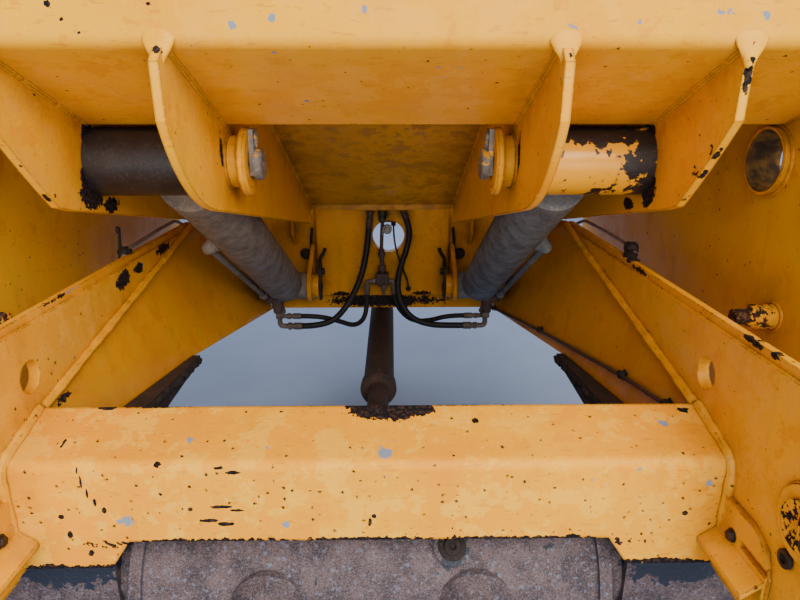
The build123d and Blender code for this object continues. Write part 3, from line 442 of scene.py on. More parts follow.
plated = rough_metal(
    "dull zinc plate", "#6E7074", "#94969A", "#7C7466", grain_mm=1.4, relief=0.0002, rough=0.42, metal=0.5)
green_plate = rough_metal(
    "dark green passivated fitting", "#1E2A22", "#34453A", "#5A5C48", grain_mm=1.4, relief=0.0002, rough=0.45,
    metal=0.4)
bolt_steel = rough_metal(
    "greasy bolt steel", "#1E1C1C", "#3A3230", "#5B4636", grain_mm=1.5, relief=0.0004, rough=0.5, metal=0.4)


def from_eye_axis(tree):
    """Distance of a point from the line of the eye pins, in metres."""
    at = next(n for n in tree.nodes if n.type == "TEX_COORD").outputs["Object"]
    off = add(tree, "VectorMath", [at, (0, -eye_y, -eye_z)], operation="ADD")
    off = add(tree, "VectorMath", [off, (0, 1, 1)], operation="MULTIPLY")
    return at, add(tree, "VectorMath", [off], operation="LENGTH", out="Value")


def sockets_of(tree):
    """A finish's colour and roughness sockets, with what is linked to each."""
    shader = next(n for n in tree.nodes if n.type == "BSDF_PRINCIPLED")
    ends = [shader.inputs["Base Color"], shader.inputs["Roughness"]]
    return shader, *ends, *(end.links[0].from_socket for end in ends)


def eye_finish(name, paint, share, places):
    """Black eye tube with flakes of paint; the rod below it, told by its distance from the eye's axis, is
    hard chrome: a bright ground surface."""
    m = rough_metal(name, "#17161A", "#262429", "#413A38", grain_mm=2.0, rough=0.42, relief=0.0005,
                    patch=paint, patch_share=share, places=places)
    tree = m.node_tree
    shader, colour_end, rough_end, colour, rough = sockets_of(tree)
    chrome = add(tree, "MapRange", [from_eye_axis(tree)[1], 0.0565, 0.0575, 0, 1], **EASED)
    tree.links.new(add(tree, "MixRGB", [chrome, colour, "#B9BCC2"]), colour_end)
    tree.links.new(chrome, shader.inputs["Metallic"])
    smoother = add(tree, "Math", [chrome, 0.24], operation="MULTIPLY")
    tree.links.new(add(tree, "Math", [rough, smoother], operation="SUBTRACT"), rough_end)
    return m


eye_black = eye_finish("worn black eye paint", "#4B423C", 0.72, [((-285, -1236, 430), (30, 30, 30), 0.1)])
eye_yellow = eye_finish("golden enamel flaked to black", "#F2AE08", 0.53, [
    ((330, -1236, 398), (110, 60, 44), 0.10),
    ((350, -1200, 474), (130, 60, 50), -0.24),
    ((442, -1220, 410), (40, 90, 80), -0.15),
])


def bore_shade_finish():
    """Soiled enamel whose bore is painted dark brown as shade, in a strength that a noise varies, and matt,
    told by the distance from the tube's axis.
    """
    m = enamel(
        "soiled enamel of access tubes, shade painted in the bore", light="#E8AC00", deep="#D09200", wear=0.02, grime_and_shade=0.9, chips=0.7)
    tree = m.node_tree
    _, colour_end, rough_end, colour, rough = sockets_of(tree)
    at, far = from_eye_axis(tree)
    bore_shade = add(tree, "MapRange", [far, 0.0512, 0.0504, 0, 1], **EASED)
    bore_shade_noise = add(tree, "TexNoise", {"Vector": at, "Scale": 1000 / 30, "Detail": 5, "Roughness": 0.55})
    bore_shade_noise = add(tree, "MapRange", [bore_shade_noise, 0.3, 0.6, 0.7, 1], **EASED)
    bore_shade = add(tree, "Math", [bore_shade, bore_shade_noise], operation="MULTIPLY")
    # the bore's dark brown is painted shade inside the tube
    tree.links.new(add(tree, "MixRGB", [bore_shade, colour, "#3E2E20"]), colour_end)
    matt = add(tree, "Math", [bore_shade, 0.9], operation="MULTIPLY")
    tree.links.new(add(tree, "Math", [rough, matt], operation="MAXIMUM"), rough_end)
    return m


tube_coat = bore_shade_finish()


def rubber_finish():
    """Black synthetic hose rubber, wrapped in cloth when cured: matt, with the cloth's mark and dust on it."""
    m, tree, shader, at = new_finish("black hose rubber")
    dusty = add(tree, "TexNoise", {"Vector": at, "Scale": 1000 / 14, "Detail": 4, "Roughness": 0.55})
    share = add(tree, "MapRange", [dusty, 0.5, 0.8, 0, 0.35], **EASED)
    tree.links.new(add(tree, "MixRGB", [share, "#0B0B0D", "#262422"]), shader.inputs["Base Color"])
    rough = add(tree, "MapRange", [dusty, 0.3, 0.7, 0.5, 0.68], **EASED)
    tree.links.new(rough, shader.inputs["Roughness"])
    cloth = add(tree, "TexNoise", {"Vector": at, "Scale": 1000 / 1.2, "Detail": 2, "Roughness": 0.55})
    bump = add(tree, "Bump", {"Height": cloth, "Distance": 0.0002, "Strength": 0.6})
    tree.links.new(bump, shader.inputs["Normal"])
    return m


hose_rubber = rubber_finish()

# The finish of each solid; the others are plain panels
finish_of = {name: finish for finish, names in (
    (upper, "skip_beam"),
    (under_skip, "skip_floor"),
    (rib_coat, "inner_ribs outer_ribs"),
    (shaded, "cheeks"),
    (tube_coat, "access_tubes"),
    (cross, "front_cross_beam"),
    (shiny, "slanted_side_plates"),
    (oxide, "axle_saddles drive_shaft"),
    (inside, "tower rear_plate rear_stiffeners ram_ears hose_bracket"),
    (bolt_steel, "base_pins base_keepers"),
    (head_coat, "eye_keepers"),
    (pin_coat, "pivot_pins pivot_keepers eye_pin_ends"),
    (casting, "axle_case axle_arms"),
    (dark_iron, "hub_left hub_right"),
    (barrel_left, "ram_barrel_left"),
    (barrel_right, "ram_barrel_right"),
    (eye_black, "ram_rod_left"),
    (eye_yellow, "ram_rod_right"),
    (peg_coat, "guide_pegs"),
    (pipe_rust, "side_pipe"),
    (dirt_crust, "pipe_clips"),
) for name in names.split()}
for name, obj in NODES.items():
    obj.data.materials.clear()
    obj.data.materials.append(finish_of.get(name, panel))


# ---------------------------------------------------------------- building new pieces
def frame_of(axis):
    """Two unit vectors square to an axis and to each other."""
    axis = np.asarray(axis, float) / np.linalg.norm(axis)
    other = np.eye(3)[np.argmin(np.abs(axis))]
    u = np.cross(axis, other)
    u /= np.linalg.norm(u)
    return axis, u, np.cross(axis, u)


def grid_faces(rows, cols):
    """Quads of a grid of rows by cols points whose columns close on themselves."""
    i = np.arange(rows - 1)[:, None] * cols
    j = np.arange(cols)[None, :]
    k = (j + 1) % cols
    return np.stack([i + j, i + k, i + cols + k, i + cols + j], -1).reshape(-1, 4)


def turned(at, axis, profile, sides=24, turn=0.0):
    """Turned or six-sided form: each (radius, height) in mm becomes a ring along the axis."""
    axis, u, v = frame_of(axis)
    r, h = np.array(profile, float).T * 0.001
    a = np.arange(sides) * 2 * np.pi / sides + turn
    ring = np.cos(a)[:, None] * u + np.sin(a)[:, None] * v
    points = np.asarray(at, float) + h[:, None, None] * axis + r[:, None, None] * ring
    return points.reshape(-1, 3), grid_faces(len(r), sides)


def along(path, radii, sides=12):
    """Tube along a path: a ring of the given radius, in metres, square to the path at each point."""
    path = np.asarray(path, float)
    t = np.gradient(path, axis=0)
    t /= np.linalg.norm(t, axis=1)[:, None]
    side = np.eye(3)[np.argmin(np.abs(t).max(axis=0))]
    u = np.cross(t, side)
    u /= np.linalg.norm(u, axis=1)[:, None]
    v = np.cross(t, u)
    radii = np.broadcast_to(radii, len(path)).astype(float)
    path = np.concatenate([path[:1], path, path[-1:]])
    radii = np.concatenate([[0], radii, [0]])
    u, v = (np.concatenate([w[:1], w, w[-1:]]) for w in (u, v))
    a = np.arange(sides) * 2 * np.pi / sides
    ring = np.cos(a)[None, :, None] * u[:, None] + np.sin(a)[None, :, None] * v[:, None]
    return (path[:, None] + radii[:, None, None] * ring).reshape(-1, 3), grid_faces(len(path), sides)


def block(low, high):
    """Box between two corners in mm, for a plate, lug or clip that is then bevelled."""
    x, y, z = (np.array(v, float) * 0.001 for v in zip(low, high))
    corners = np.array([(a, b, c) for a in x for b in y for c in z])
    quads = [(0, 1, 3, 2), (4, 6, 7, 5), (0, 4, 5, 1), (2, 3, 7, 6), (0, 2, 6, 4), (1, 5, 7, 3)]
    return corners, np.array(quads)


def placed(name, data):
    """New object in the scene."""
    obj = bpy.data.objects.new(name, data)
    bpy.context.scene.collection.objects.link(obj)
    return obj


def piece(name, parts, finish, body, bevel=0.0, smooth=40.0):
    """One object from (points, quads) parts, welded at its poles, with outward faces."""
    base = np.cumsum([0] + [len(p) for p, _ in parts])
    points = np.concatenate([p for p, _ in parts])
    faces = np.concatenate([f + b for (_, f), b in zip(parts, base)])
    mesh = bpy.data.meshes.new(name)
    mesh.from_pydata(points.tolist(), [], faces.tolist())
    bm = bmesh.new()
    bm.from_mesh(mesh)
    bmesh.ops.remove_doubles(bm, verts=bm.verts, dist=2e-6)
    bmesh.ops.recalc_face_normals(bm, faces=bm.faces)
    bm.to_mesh(mesh)
    bm.free()
    mesh.polygons.foreach_set("use_smooth", np.ones(len(mesh.polygons), bool))
    mesh.set_sharp_from_angle(angle=math.radians(smooth))
    obj = placed(name, mesh)
    mesh.materials.append(finish)
    if bevel:
        mod = obj.modifiers.new("edge", "BEVEL")
        mod.width, mod.segments, mod.limit_method = bevel, 2, "ANGLE"
    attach(obj, body)
    return obj


# ---------------------------------------------------------------- hoses and cable
def hose(name, route, radius, length, node):
    """Hose or cable: a smooth spline through its route, drawn as a round tube."""
    curve = bpy.data.curves.new(name, "CURVE")
    curve.dimensions = "3D"
    curve.bevel_depth = radius
    curve.bevel_resolution = 5
    curve.resolution_u = 16
    curve.use_fill_caps = True
    spline = curve.splines.new("NURBS")
    spline.points.add(len(route) - 1)
    for p, at in zip(spline.points, route):
        p.co = (*mm(*at), 1.0)
    spline.order_u = 3
    spline.use_endpoint_u = True
    curve.materials.append(hose_rubber)
    obj = placed(name, curve)
    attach(obj, "chassis")
    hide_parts(node)
    tuple(mm(*route[0]))
    return obj


# Name, node, radius and length in metres, and route in mm
for name, node, radius, length, route in (
    ("lift_hose_left", "hose_lift_left", 0.010, 0.445, (
        (-45, -213, 116), (-50, -214, 58), (-71, -243, -47), (-122, -300, -140), (-184, -334, -188),
        (-266, -334, -188))),
    ("lift_hose_right", "hose_lift_right", 0.010, 0.525, (
        (78, -213, 150), (92, -214, 112), (86, -221, 58), (52, -252, -32), (50, -280, -102),
        (88, -310, -168), (150, -326, -187), (206, -334, -188), (266, -334, -188))),
    ("return_hose_left", "hose_return_left", 0.008, 0.332, (
        (-54, -236, -86), (-54, -236, -124), (-61, -253, -190), (-96, -280, -210), (-150, -295, -184),
        (-214, -318, -159), (-270, -318, -159))),
    ("return_hose_right", "hose_return_right", 0.008, 0.313, (
        (37, -236, -86), (37, -236, -112), (54, -254, -158), (98, -278, -192), (156, -299, -184),
        (216, -318, -159), (270, -318, -159))),
    ("thin_cable", "cable", 0.003, 0.248, (
        (37, -207, 134), (37, -207, 84), (50, -211, 22), (76, -208, -46), (88, -207, -80), (88, -207, -107))),
):
    hose(name, route, radius, length, node)


# ---------------------------------------------------------------- weld beads
def bead(points, radius=3.5, swelling=0.16):
    """Weld bead through corner points in mm: a tube of radius r (1 + a |sin(pi s / ripple)|) with two slower
    waves."""
    p = np.array(points, float) * 0.001
    steps = np.linalg.norm(np.diff(p, axis=0), axis=1)
    s = np.concatenate([[0], np.cumsum(steps)])
    at = np.linspace(0, s[-1], max(8, int(s[-1] / 0.0024)))
    path = np.stack([np.interp(at, s, p[:, k]) for k in range(3)], 1)
    swell = 1 + swelling * np.abs(np.sin(at * np.pi / ripple)) + 0.10 * np.sin(at * 37.0 + p[0, 0] * 90)
    swell += 0.06 * np.sin(at * 143.0)
    return along(path, radius * 0.001 * swell, sides=8)


def ring_bead(centre, axis, ring_mm, radius=3.5):
    """Round weld bead about an axis: the same tube on a circle, with a whole number of ripples."""
    axis, u, v = frame_of(axis)
    n = int(2 * np.pi * ring_mm / 2.4)
    a = np.linspace(0, 2 * np.pi, n)
    path = np.asarray(centre) + ring_mm * 0.001 * (np.cos(a)[:, None] * u + np.sin(a)[:, None] * v)
    swell = 1 + 0.16 * np.abs(np.sin(a * round(ring_mm * 2 * np.pi / 6) / 2))
    return along(path, radius * 0.001 * swell, sides=8)


def lump(centre, half, seed=0.0, rows=12, cols=18):
    """Uneven lump in mm: an ellipsoid whose radius is 1 + 0.14 sin(3a + seed) sin 2b + 0.1 cos b cos(2a - seed)
    sin(5b + seed)."""
    b = np.linspace(-np.pi / 2, np.pi / 2, rows)[:, None]
    a = (np.arange(cols) * 2 * np.pi / cols)[None, :]
    r = 1 + 0.14 * np.sin(3 * a + seed) * np.sin(2 * b)
    r = r + 0.10 * np.cos(b) * np.cos(2 * a - seed) * np.sin(5 * b + seed)
    r = np.where(np.abs(np.cos(b)) < 1e-9, 1.0, r)
    unit = np.stack([np.cos(b) * np.cos(a) * r, np.cos(b) * np.sin(a) * r, np.sin(b) * r], -1)
    return (unit * mm(*half) + mm(*centre)).reshape(-1, 3), grid_faces(rows, cols)


def flare(x, front):
    """Weld fillet from a rib's edge up to the beam, in mm: half width 5.5 + 15 s(t), half depth 6 - 1.5 t,
    closed by sqrt(1 - u^2) at both ends."""
    t = np.linspace(0, 1, 22)[:, None]
    a = (np.arange(20) * 2 * np.pi / 20)[None, :]
    rise = np.clip((t - 0.05) / 0.75, 0, 1)
    u = np.clip(np.where(t < 0.5, 1 - t / 0.12, (t - 0.7) / 0.3), 0, 1)
    cap = np.sqrt(np.clip(1 - u ** 2, 0, 1))
    wide = (5.5 + 15 * rise ** 2 * (3 - 2 * rise)) * cap * (1 + 0.05 * np.sin(5 * a + x) * rise)
    deep = (6 - 1.5 * t) * cap
    y = front + 3 + (-1441 - front - 3) * rise
    points = np.stack([x + wide * np.cos(a), y + deep * np.sin(a), 540 + 50 * t + 0 * a], -1)
    return points.reshape(-1, 3) * 0.001, grid_faces(22, 20)


def floor_z(y):
    """Z, in mm, of the sloped floor's underside."""
    return 456 - (y + 810) * 0.4507


# Three points of the right slanted plate's inner face, in mm
slant_a = np.array([500.0, -1381, 70])
slant_b = np.array([500.0, -610, 210])
slant_c = np.array([380.0, -180, -176])
slant_n = np.cross(slant_b - slant_a, slant_c - slant_a)


def slant_x(y, z):
    """X, in mm, of the right slanted plate's inner face."""
    return slant_a[0] - (slant_n[1] * (y - slant_a[1]) + slant_n[2] * (z - slant_a[2])) / slant_n[0]


# Ribs, in mm: the middle of the inner and of the outer ones, and half their thickness
rib_in, rib_out, rib_half = 238, 456, 6
rib_beads = []
tip_beads = []
body_beads = []
cross_beads = []
beam_end_line = ((-1384, 70), (-1478, 44), (-1490, 34), (-1495, 18), (-1495, -124))
lug_line = ((-1495, -12), (-1560, -12), (-1592, -26), (-1604, -58), (-1604, -127))
for s, _ in SIDES:
    for x in (rib_in - rib_half, rib_in + rib_half, rib_out - rib_half, rib_out + rib_half):
        rib_beads.append(bead([(s * x, -1436, 566), (s * x, -1207, 475)], 5, 0.22))
        rib_beads.append(bead([(s * x, -1200, floor_z(-1200)), (s * x, -242, floor_z(-242))], 4))
    for x, front in ((rib_in, -1452), (rib_out, -1447)):
        rib_beads.append(flare(s * x, front))
    tip_beads.append(bead([(s * 663, -1400, 552), (s * 663, -1207, 475)], 4))
    tip_beads.append(bead([(s * 663, -1200, floor_z(-1200)), (s * 663, -242, floor_z(-242))], 4))
    tip_beads.append(ring_bead((s * 0.663, eye_y, eye_z), (1, 0, 0), 57, 3.5))
    tip_beads.append(ring_bead((s * 0.2315, eye_y, eye_z), (1, 0, 0), 43, 3.5))
    tip_beads.append(ring_bead((s * 0.6625, -1.270, 0.170), (1, 0, 0), 23, 3))
    cross_beads.append(bead([(s * 497, -1378, 67), (s * 497, -612, 206)], 8, 0.03))
    cross_beads.append(bead([(s * 498, y, z) for y, z in beam_end_line], 8, 0.05))
    foot, head = slant_x(-182, -170), slant_x(-182, 150)
    body_beads.append(bead([(s * (foot - 1), -182, -170), (s * (head - 1), -182, 150)], 4))
    body_beads.append(bead([(s * 227, -181, 174), (s * 227, -181, -124), (s * 8, -181, -125)], 4))
    for x in (230, 244, 382, 396):
        body_beads.append(bead([(s * x, -181, 60), (s * x, -181, -117)], 3.5))
    body_beads.append(ring_bead((s * 0.2295, base_y, base_z), (1, 0, 0), 39, 3))
    body_beads.append(ring_bead((s * 0.519, pivot_y, pivot_z), (1, 0, 0), 47, 4))
    body_beads.append(ring_bead((s * 0.4995, pivot_y, pivot_z), (1, 0, 0), 47, 3))
    body_beads.append(bead([(s * 499, y, z) for y, z in lug_line], 3))
    for x in (294, 304):
        body_beads.append(bead([(s * x, -181, 174), (s * x, -181, 54)], 3))
    for z in (130, 170, -130, -170):
        body_beads.append(bead([(s * 150, -164, z), (0, -164, z)], 4))
piece("rib_welds", rib_beads, rib_coat, "tipping_frame")
piece("frame_welds", tip_beads, inside, "tipping_frame")
piece("beam_welds", cross_beads, panel, "chassis")
piece("chassis_welds", body_beads, inside, "chassis")


# ---------------------------------------------------------------- bolts, nuts and studs
def bolt(at, axis, size=16, turn=0.3, washer=True):
    """Hexagon bolt head on a washer: rounded six-sided head, sizes by the thread in mm."""
    a = 0.86 * size
    k = 0.62 * size
    t = 0.16 * size if washer else 0.0
    head = turned(at, axis, [(0, t), (a, t), (a, t + 0.86 * k), (0.88 * a, t + k), (0, t + k)], 6, turn)
    if not washer:
        return [head]
    return [head, turned(at, axis, [(0, -0.2), (1.1 * size, -0.2), (1.1 * size, t), (0, t)], 28)]


def nut(at, axis, across, length, turn=0.2):
    """Chamfered hexagon by its width across flats, in mm."""
    a = 0.577 * across
    c = 0.08 * across
    profile = [(0, 0), (0.9 * a, 0), (a, c), (a, length - c), (0.9 * a, length), (0, length)]
    return turned(at, axis, profile, 6, turn)


def ferrule(at, axis, radius, length):
    """Crimped ferrule in mm: jaw grooves every 4 mm, a neck, then a union nut."""
    axis = np.asarray(axis, float) / np.linalg.norm(axis)
    h = np.arange(1.0, 0.58 * length, 1.0)
    r = radius * (1 - 0.07 * (np.sin(h * np.pi / 2) > 0.2))
    profile = [
        (0, 0), (0.92 * radius, 0), *zip(r, h), (0.75 * radius, 0.61 * length), (0.75 * radius, 0.8 * length),
        (0, 0.8 * length)]
    head = np.asarray(at, float) + axis * 0.00072 * length
    return [turned(at, axis, profile, 20), nut(head, axis, 1.8 * radius, 0.28 * length)]


def bent(points, reach, radii, sides=14):
    """Pipe through corner points in mm, with radii in metres; each corner is the parabola (1-t)^2 a + 2t(1-t) c
    + t^2 b."""
    p = np.array(points, float)
    t = np.linspace(0, 1, 7)[:, None]
    out = [p[:1]]
    for a, c, b in zip(p, p[1:], p[2:]):
        la, lb = np.linalg.norm(a - c), np.linalg.norm(b - c)
        k = min(reach, 0.45 * la, 0.45 * lb)
        a, b = c + (a - c) * k / la, c + (b - c) * k / lb
        out.append((1 - t) ** 2 * a + 2 * t * (1 - t) * c + t ** 2 * b)
    return along(np.concatenate(out + [p[-1:]]) * 0.001, radii, sides)


def stud(at, axis, size, reach):
    """Threaded stud with a nut: rings of the thread every 2 mm."""
    h = np.arange(0, reach - 2, 1.0)
    r = size / 2 * (1 - 0.06 * (np.arange(len(h)) % 2))
    profile = [(0, 0)] + list(zip(r, h)) + [(size * 0.38, reach), (0, reach)]
    six = np.array([(0, 0), (0.92, 0), (0.92, 0.8), (0.8, 0.88), (0, 0.88)]) * size
    return [turned(at, axis, profile, 20), turned(at, axis, six, 6, 0.2)]


pin_profile = [(0, 0), (25, 0), (26, 3), (25.5, 11), (22, 13.5), (5, 13.5), (4, 11.5), (0, 11)]
ring_profile = [(41, 0), (52, 0), (55, 3), (55, 11), (52, 13.5), (41, 13.5), (41, 0)]
cap_profile = [(0, 0), (12, 0), (12, 5), (6, 6), (6, 2), (0, 2)]
pin_heads = []
eye_rings = []
body_bolts = []
axle_bolts = []
for s, side in SIDES:
    pin_heads.append(turned((s * 0.192, eye_y, eye_z - 0.004), (-s, 0, 0), pin_profile, 36))
    pin_heads.append(lump((s * 188, eye_y * 1000 - 3, eye_z * 1000 + 34), (4, 9, 13), s + 1.5))
    eye_rings.append(turned((s * 0.212, eye_y, eye_z), (-s, 0, 0), ring_profile, 48))
    body_bolts += bolt((s * 0.200, base_y, base_z + 0.048), (-s, 0, 0), 14, 0.5)
    body_bolts += bolt((s * 0.492, -1.529, -0.052), (-s, 0, 0), 9, 0.5)
    body_bolts += bolt((s * 0.480, pivot_y - 0.036, pivot_z), (-s, 0, 0), 12, 0.1)
    body_bolts += bolt((s * 0.264, -0.180, 0.020), (0, -1, 0), 18, 0.2)
    body_bolts.append(turned((s * 0.500, pivot_y + 0.018, pivot_z - 0.060), (-s, 0, 0), cap_profile, 24))
    for x in (0.418, 0.524):
        for dy in (-0.072, 0.072):
            axle_bolts += stud((s * x, axle_y + dy, axle_z - 0.078), (0, 0, -1), 22, 34)
    for i in range(12):
        a = math.radians(15 + 30 * i)
        y, z = axle_y + case_ring * math.cos(a), axle_z + case_ring * math.sin(a)
        axle_bolts += bolt((s * case_x, y, z), (s, 0, 0), 14, 0.4)
    hub_studs = []
    for i in range(10):
        a = math.radians(36 * i)
        y, z = axle_y + stud_ring * math.cos(a), axle_z + stud_ring * math.sin(a)
        hub_studs += stud((s * stud_x, y, z), (s, 0, 0), 22, 46)
    piece("wheel_studs_" + side, hub_studs, bolt_steel, "hub_" + side, fine_edge)
piece("eye_pin_heads", pin_heads, head_coat, "tipping_frame", wide_edge)
piece("eye_rings", eye_rings, rib_coat, "tipping_frame")
piece("chassis_bolts", body_bolts, bolt_steel, "chassis", wide_edge)
piece("axle_bolts", axle_bolts, casting, "chassis", wide_edge)

# Plug on the axle's boss: a rim, a step and a round recess
boss_tip = (0.121, -1.4569, -0.1271)
boss_out = (0, -0.7338, 0.6794)
plug_profile = [(0, -1), (21, -1), (21, 2), (17, 4), (14, 4), (12, 8), (6, 8), (6, 3), (0, 3)]
piece("axle_plug", [turned(boss_tip, boss_out, plug_profile, 28)], dirt_crust, "chassis")


# ---------------------------------------------------------------- ram pipes, ports and hose ends
ram_dir, ram_up = np.array([0, -0.8825, 0.4704]), np.array([0, 0.4704, 0.8825])


def on_ram(side, x, y, z):
    """Point in mm from a ram's own frame: x outwards, y to its upper side, z along it from the base pin."""
    return np.array([side * (320 + x), -295.0, -60.0]) + y * ram_up + z * ram_dir


end_profile = [(0, -2), (17, -2), (16.5, 10), (14, 20), (10, 27), (5, 29), (0, 29)]
for s, side in SIDES:
    outwards = np.array([s * 0.743, 0, 0]) - 0.669 * ram_up
    pipe_line = [on_ram(s, 53.5, -48.2, z) for z in np.linspace(70, 642, 24)]
    fittings = [along(np.array(pipe_line) * 0.001, 0.0085, 14)]
    base = on_ram(s, 43.5, -39.2, 650) * 0.001
    fittings.append(turned(base, outwards, end_profile, 20))
    fittings.append(ring_bead(on_ram(s, 45, -40.5, 650) * 0.001, outwards, 17, 3))
    foot = on_ram(s, 53.5, -48.2, 74) * 0.001
    fittings.append(nut(foot, ram_dir, 25, 22))
    piece(
        "ram_pipe_line_" + side, fittings, barrel_left if s < 0 else barrel_right, "ram_barrel_" + side)
    stem = [
        block((s * 324, -358, -139), (s * 354, -314, -88)),
        block((s * 345, -356, -104), (s * 380, -318, -66)),
    ]
    piece("ram_port_" + side, stem, fitting_rust, "ram_barrel_" + side, 0.007)
    ends = ferrule(mm(s * 266, -334, -188), (s, 0, 0), 12, 46)
    ends += ferrule(mm(s * 270, -318, -159), (s, 0, 0), 10, 46)
    ends.append(bent([(s * 308, -334, -188), (s * 338, -334, -188), (s * 338, -334, -136)], 18, 0.0085))
    ends.append(bent([(s * 312, -318, -159), (s * 330, -318, -159), (s * 330, -318, -128)], 12, 0.0075))
    ends.append(nut(mm(s * 338, -334, -160), (0, 0, 1), 25, 20))
    ends.append(nut(mm(s * 330, -318, -147), (0, 0, 1), 20, 12))
    ends.append(nut(mm(s * 356, -334, -112), (s, 0, 0), 20, 9))
    ends_piece = piece(
        "ram_hose_ends_" + side, ends, ferrule_rust, "ram_barrel_" + side, fine_edge)
    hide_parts("ram_pipe_" + side)

# ---------------------------------------------------------------- fittings in front of the tower
risers = ferrule(mm(-45, -213, 116), (5, 1, 58), 11.5, 58)
risers += ferrule(mm(78, -213, 150), (-14, 1, 38), 11.5, 27)
risers.append(bent([(2, -213, 160), (-3, -215, 84), (-4, -225, 24), (0, -235, -40)], 30, 0.0065))
risers.append(nut(mm(-3.6, -222, 36), (0, -0.12, -1), 23, 16))
risers.append(nut(mm(-2.6, -229, -8), (0, -0.15, -1), 25, 20))
risers.append(turned(mm(-3.4, -220, 46), (0, -0.12, -1), [(0, 0), (9.5, 0), (9.5, 10), (0, 10)], 18))
supply = piece("supply_fittings", risers, fitting_rust, "chassis", fine_edge)
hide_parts("supply_pipes")
banjo = [turned(mm(16, -224, 112), (0, 1, 0), [(0, 0), (15, 0), (16, 2), (16, 14), (15, 16), (0, 16)], 24)]
banjo += [nut(mm(16, -232, 112), (0, 1, 0), 19, 9)]
banjo.append(bent([(10, -216, 108), (0, -216, 104), (-3, -216, 84)], 8, 0.0055, 12))
piece("banjo_fitting", banjo, plated, "chassis", fine_edge)
green = [nut(mm(1, -213, 150), (0, 0, 1), 26, 25), nut(mm(0, -213, 138), (0, 0, 1), 21, 12, 0.6)]
piece("green_fitting", green, green_plate, "chassis", fine_edge)

cross_block = [block((-24, -254, -73), (20, -218, -33)), block((-12, -240, -63), (8, -201, -43))]
tee = piece("cross_block", cross_block, fitting_rust, "chassis", 0.005)
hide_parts("tee_block")
arms = [
    bent([(-22, -236, -62), (-54, -236, -62), (-54, -236, -88)], 16, 0.0075),
    bent([(18, -236, -62), (37, -236, -62), (37, -236, -88)], 12, 0.0075),
    nut(mm(-24, -236, -62), (-1, 0, 0), 20, 10),
    nut(mm(20, -236, -62), (1, 0, 0), 18, 6),
    nut(mm(-54, -236, -76), (0, 0, -1), 21, 12),
    nut(mm(37, -236, -76), (0, 0, -1), 21, 12),
    turned(mm(-54, -236, -87), (0, 0, -1), [(0, 0), (9.6, 0), (9.6, 20), (8.6, 21), (0, 21)], 20),
    turned(mm(37, -236, -87), (0, 0, -1), [(0, 0), (9.6, 0), (9.6, 20), (8.6, 21), (0, 21)], 20),
    nut(mm(4, -236, -73), (0, 0, -1), 22, 14),
    turned(mm(4, -236, -84), (0, 0, -1), [(0, 0), (8, 0), (8, 12), (6, 16), (6, 24), (0, 24)], 20),
]
piece("cross_block_fittings", arms, ferrule_rust, "chassis", fine_edge)

# ---------------------------------------------------------------- thin pipes and clips at the side plates
right_route = [
    (508, -556, 180), (530, -570, 190), (545, -620, 214), (541, -797, 219), (539, -950, 219), (533, -1000, 216),
    (528, -1030, 190)]
left_route = [
    (-508, -566, 180), (-522, -580, 190), (-533, -640, 219), (-529, -759, 220), (-518, -974, 219),
    (-522, -1010, 196)]
thin = [bent(right_route, 30, 0.0042, 10), bent(left_route, 20, 0.0042, 10)]
piece("thin_side_pipes", thin, pale_pipe, "chassis")
tail_radii = np.r_[0.005, np.linspace(0.0042, 0.003, 7), 0.0034]
clips = [
    lump((531, -982, 221), (15, 17, 13), 1.0),
    lump((519, -1012, 212), (14, 20, 7), 2.0),
    lump((514, -1040, 208), (12, 16, 6), 3.2),
    lump((-523, -975, 214), (13, 18, 11), 4.0),
    bent([(-541, -962, 186), (-538, -960, 222), (-536, -958, 262)], 20, tail_radii, 10),
    lump((-538, -960, 257), (4.5, 4.5, 8), 2.2),
]
for y, z in ((-1320, 35.0), (-1161, 14.4), (-700, -67.6), (-240, -159.9)):
    clips.append(lump((slant_x(y, z) - 8, y, z + 1), (7, 11, 8), y))
piece("pipe_clamps", clips, dirt_crust, "chassis")

# Bent tops of the base pin keepers and crusts of dirt beside the rams and along the saddles
crust = []
for s, side in SIDES:
    hook = [(s * 204, -295, -6), (s * 204, -297, 30), (s * 190, -300, 50), (s * 184, -302, 66)]
    crust.append(bent(hook, 14, 0.006, 10))
    crust.append(lump((s * 205, -296, -66), (8, 14, 26), s + 2.0))
    crust.append(lump((s * 203, -297, 8), (7, 12, 18), s + 4.0))
    crust.append(bent([(s * 246, -186, 24), (s * 244, -188, 70), (s * 238, -190, 112)], 20, 0.0045, 10))
    for i, y in enumerate(np.linspace(-1360, -890, 34)):
        size = 5 + 4 * abs(math.sin(i * 2.3 + s))
        x, z = 425 + 2 * math.sin(i * 5.1), -20 - (y + 1381) * 0.105 + 3 * math.sin(i * 3.7)
        crust.append(lump((s * x, y, z), (size * 0.8, size * 1.9, size), i * 1.7, 8, 10))
piece("dirt_crusts", crust, dirt_crust, "chassis")

# ---------------------------------------------------------------- drive shaft details
shaft_x, shaft_z = -0.006, -0.226
flange_ring = 0.056  # bolts of the flange at its front end


def splines(y0, y1, radius, depth, count):
    """Splined bar along Y in mm: radius r + depth * square wave of count teeth, four points a tooth."""
    a = np.arange(count * 4) * 2 * np.pi / (count * 4)
    r = radius + depth * (np.arange(count * 4) % 4 < 2)
    ring = np.stack([r * np.cos(a), np.zeros_like(a), r * np.sin(a)], -1)
    rows = [ring * [0, 1, 0] + [0, y0, 0], ring + [0, y0, 0], ring + [0, y1, 0], ring * [0, 1, 0] + [0, y1, 0]]
    return (np.stack(rows) * 0.001 + [shaft_x, 0, shaft_z]).reshape(-1, 3), grid_faces(4, count * 4)


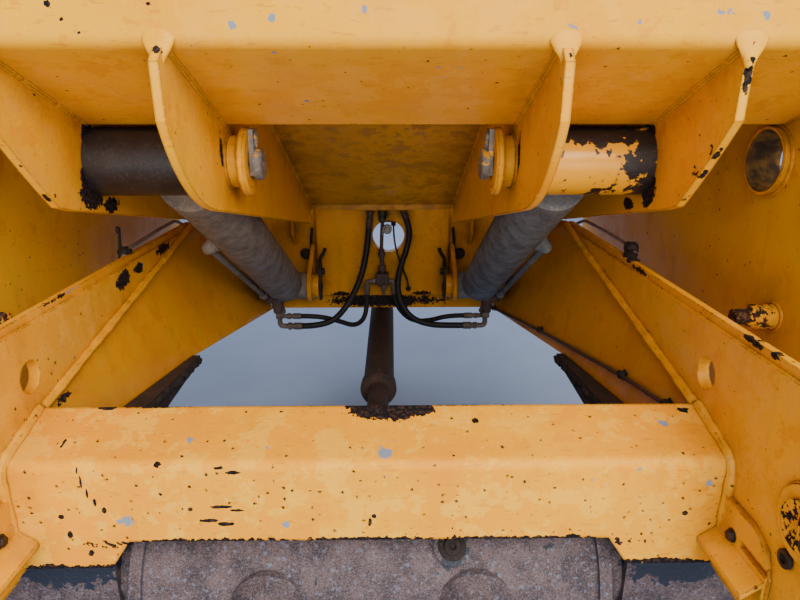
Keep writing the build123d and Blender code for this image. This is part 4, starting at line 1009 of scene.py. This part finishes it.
shaft_parts = [splines(-970, -737, 26.2, 1.2, 18)]
shaft_parts.append(ring_bead((shaft_x, -0.693, shaft_z), (0, 1, 0), 43, 3))
bell_profile = [(0, -1), (40, -1), (48, 3), (49, 8), (48, 30), (44, 41), (40, 44), (0, 44)]
shaft_parts.append(turned((shaft_x, -0.735, shaft_z), (0, 1, 0), bell_profile, 40))
nipple_profile = [(0, 0), (5, 0), (5, 4), (3, 6), (3, 10), (0, 11)]
shaft_parts.append(turned((shaft_x, -0.714, shaft_z + 0.046), (0, 0, 1), nipple_profile, 12))
for dx, dz in ((1, 0), (-1, 0), (0, 1), (0, -1)):
    cup = (shaft_x + dx * 0.034, -1.035, shaft_z + dz * 0.034)
    shaft_parts.append(turned(cup, (dx, 0, dz), [(0, 0), (14, 0), (14, 9), (11, 11), (0, 11)], 20))
for i in range(8):
    a = math.radians(45 * i + 22.5)
    x, z = shaft_x + flange_ring * math.cos(a), shaft_z + flange_ring * math.sin(a)
    shaft_parts += bolt((x, -1.0785, z), (0, 1, 0), 10, 0.2, False)
piece("drive_shaft_details", shaft_parts, oxide, "drive_shaft", fine_edge)

# ---------------------------------------------------------------- floor, light and camera
bpy.ops.mesh.primitive_plane_add(size=16, location=(0, 0, ground_z))
ground = bpy.context.object
ground.name = "floor"
m, tree, shader, at = new_finish("pale floor")
clouds = add(tree, "TexNoise", {"Vector": at, "Scale": 1000 / 400, "Detail": 4, "Roughness": 0.55})
tree.links.new(add(tree, "MixRGB", [clouds, "#7888A6", "#92A0BA"]), shader.inputs["Base Color"])
shader.inputs["Roughness"].default_value = 0.8
ground.data.materials.append(m)

world = bpy.data.worlds.new("soft daylight")
world.use_nodes = True
world.node_tree.nodes["Background"].inputs[0].default_value = srgb("#DCE6F2")
world.node_tree.nodes["Background"].inputs[1].default_value = 0.55
bpy.context.scene.world = world


def lamp(name, at, target, size, power, colour):
    """Soft rectangular light that faces a target."""
    light = bpy.data.lights.new(name, "AREA")
    light.shape = "RECTANGLE"
    light.size, light.size_y = size
    light.energy = power
    light.color = srgb(colour)[:3]
    obj = placed(name, light)
    obj.location = at
    obj.rotation_euler = (Vector(target) - Vector(at)).to_track_quat("-Z", "Y").to_euler()


lamp("sky in front", (1.3, -4.5, 2.6), (0, -1.3, 0.1), (4.0, 2.6), 268, "#FFF6E6")
lamp("low fill", (0.0, -4.2, 0.1), (0, -0.6, 0.1), (3.0, 1.2), 46, "#FFF0DC")
lamp("back light", (0.0, 2.6, 1.6), (0, -0.4, -0.4), (4.0, 2.0), 90, "#EAF1FF")

camera = placed("camera", bpy.data.cameras.new("camera"))
camera.data.lens = 27.0
camera.data.sensor_width = 36.0
camera.data.clip_start = 0.02
camera.location = (0.033, -2.200, 0.500)
camera.rotation_euler = (math.radians(90 - 17.8), 0, math.radians(-0.745))
bpy.context.scene.camera = camera
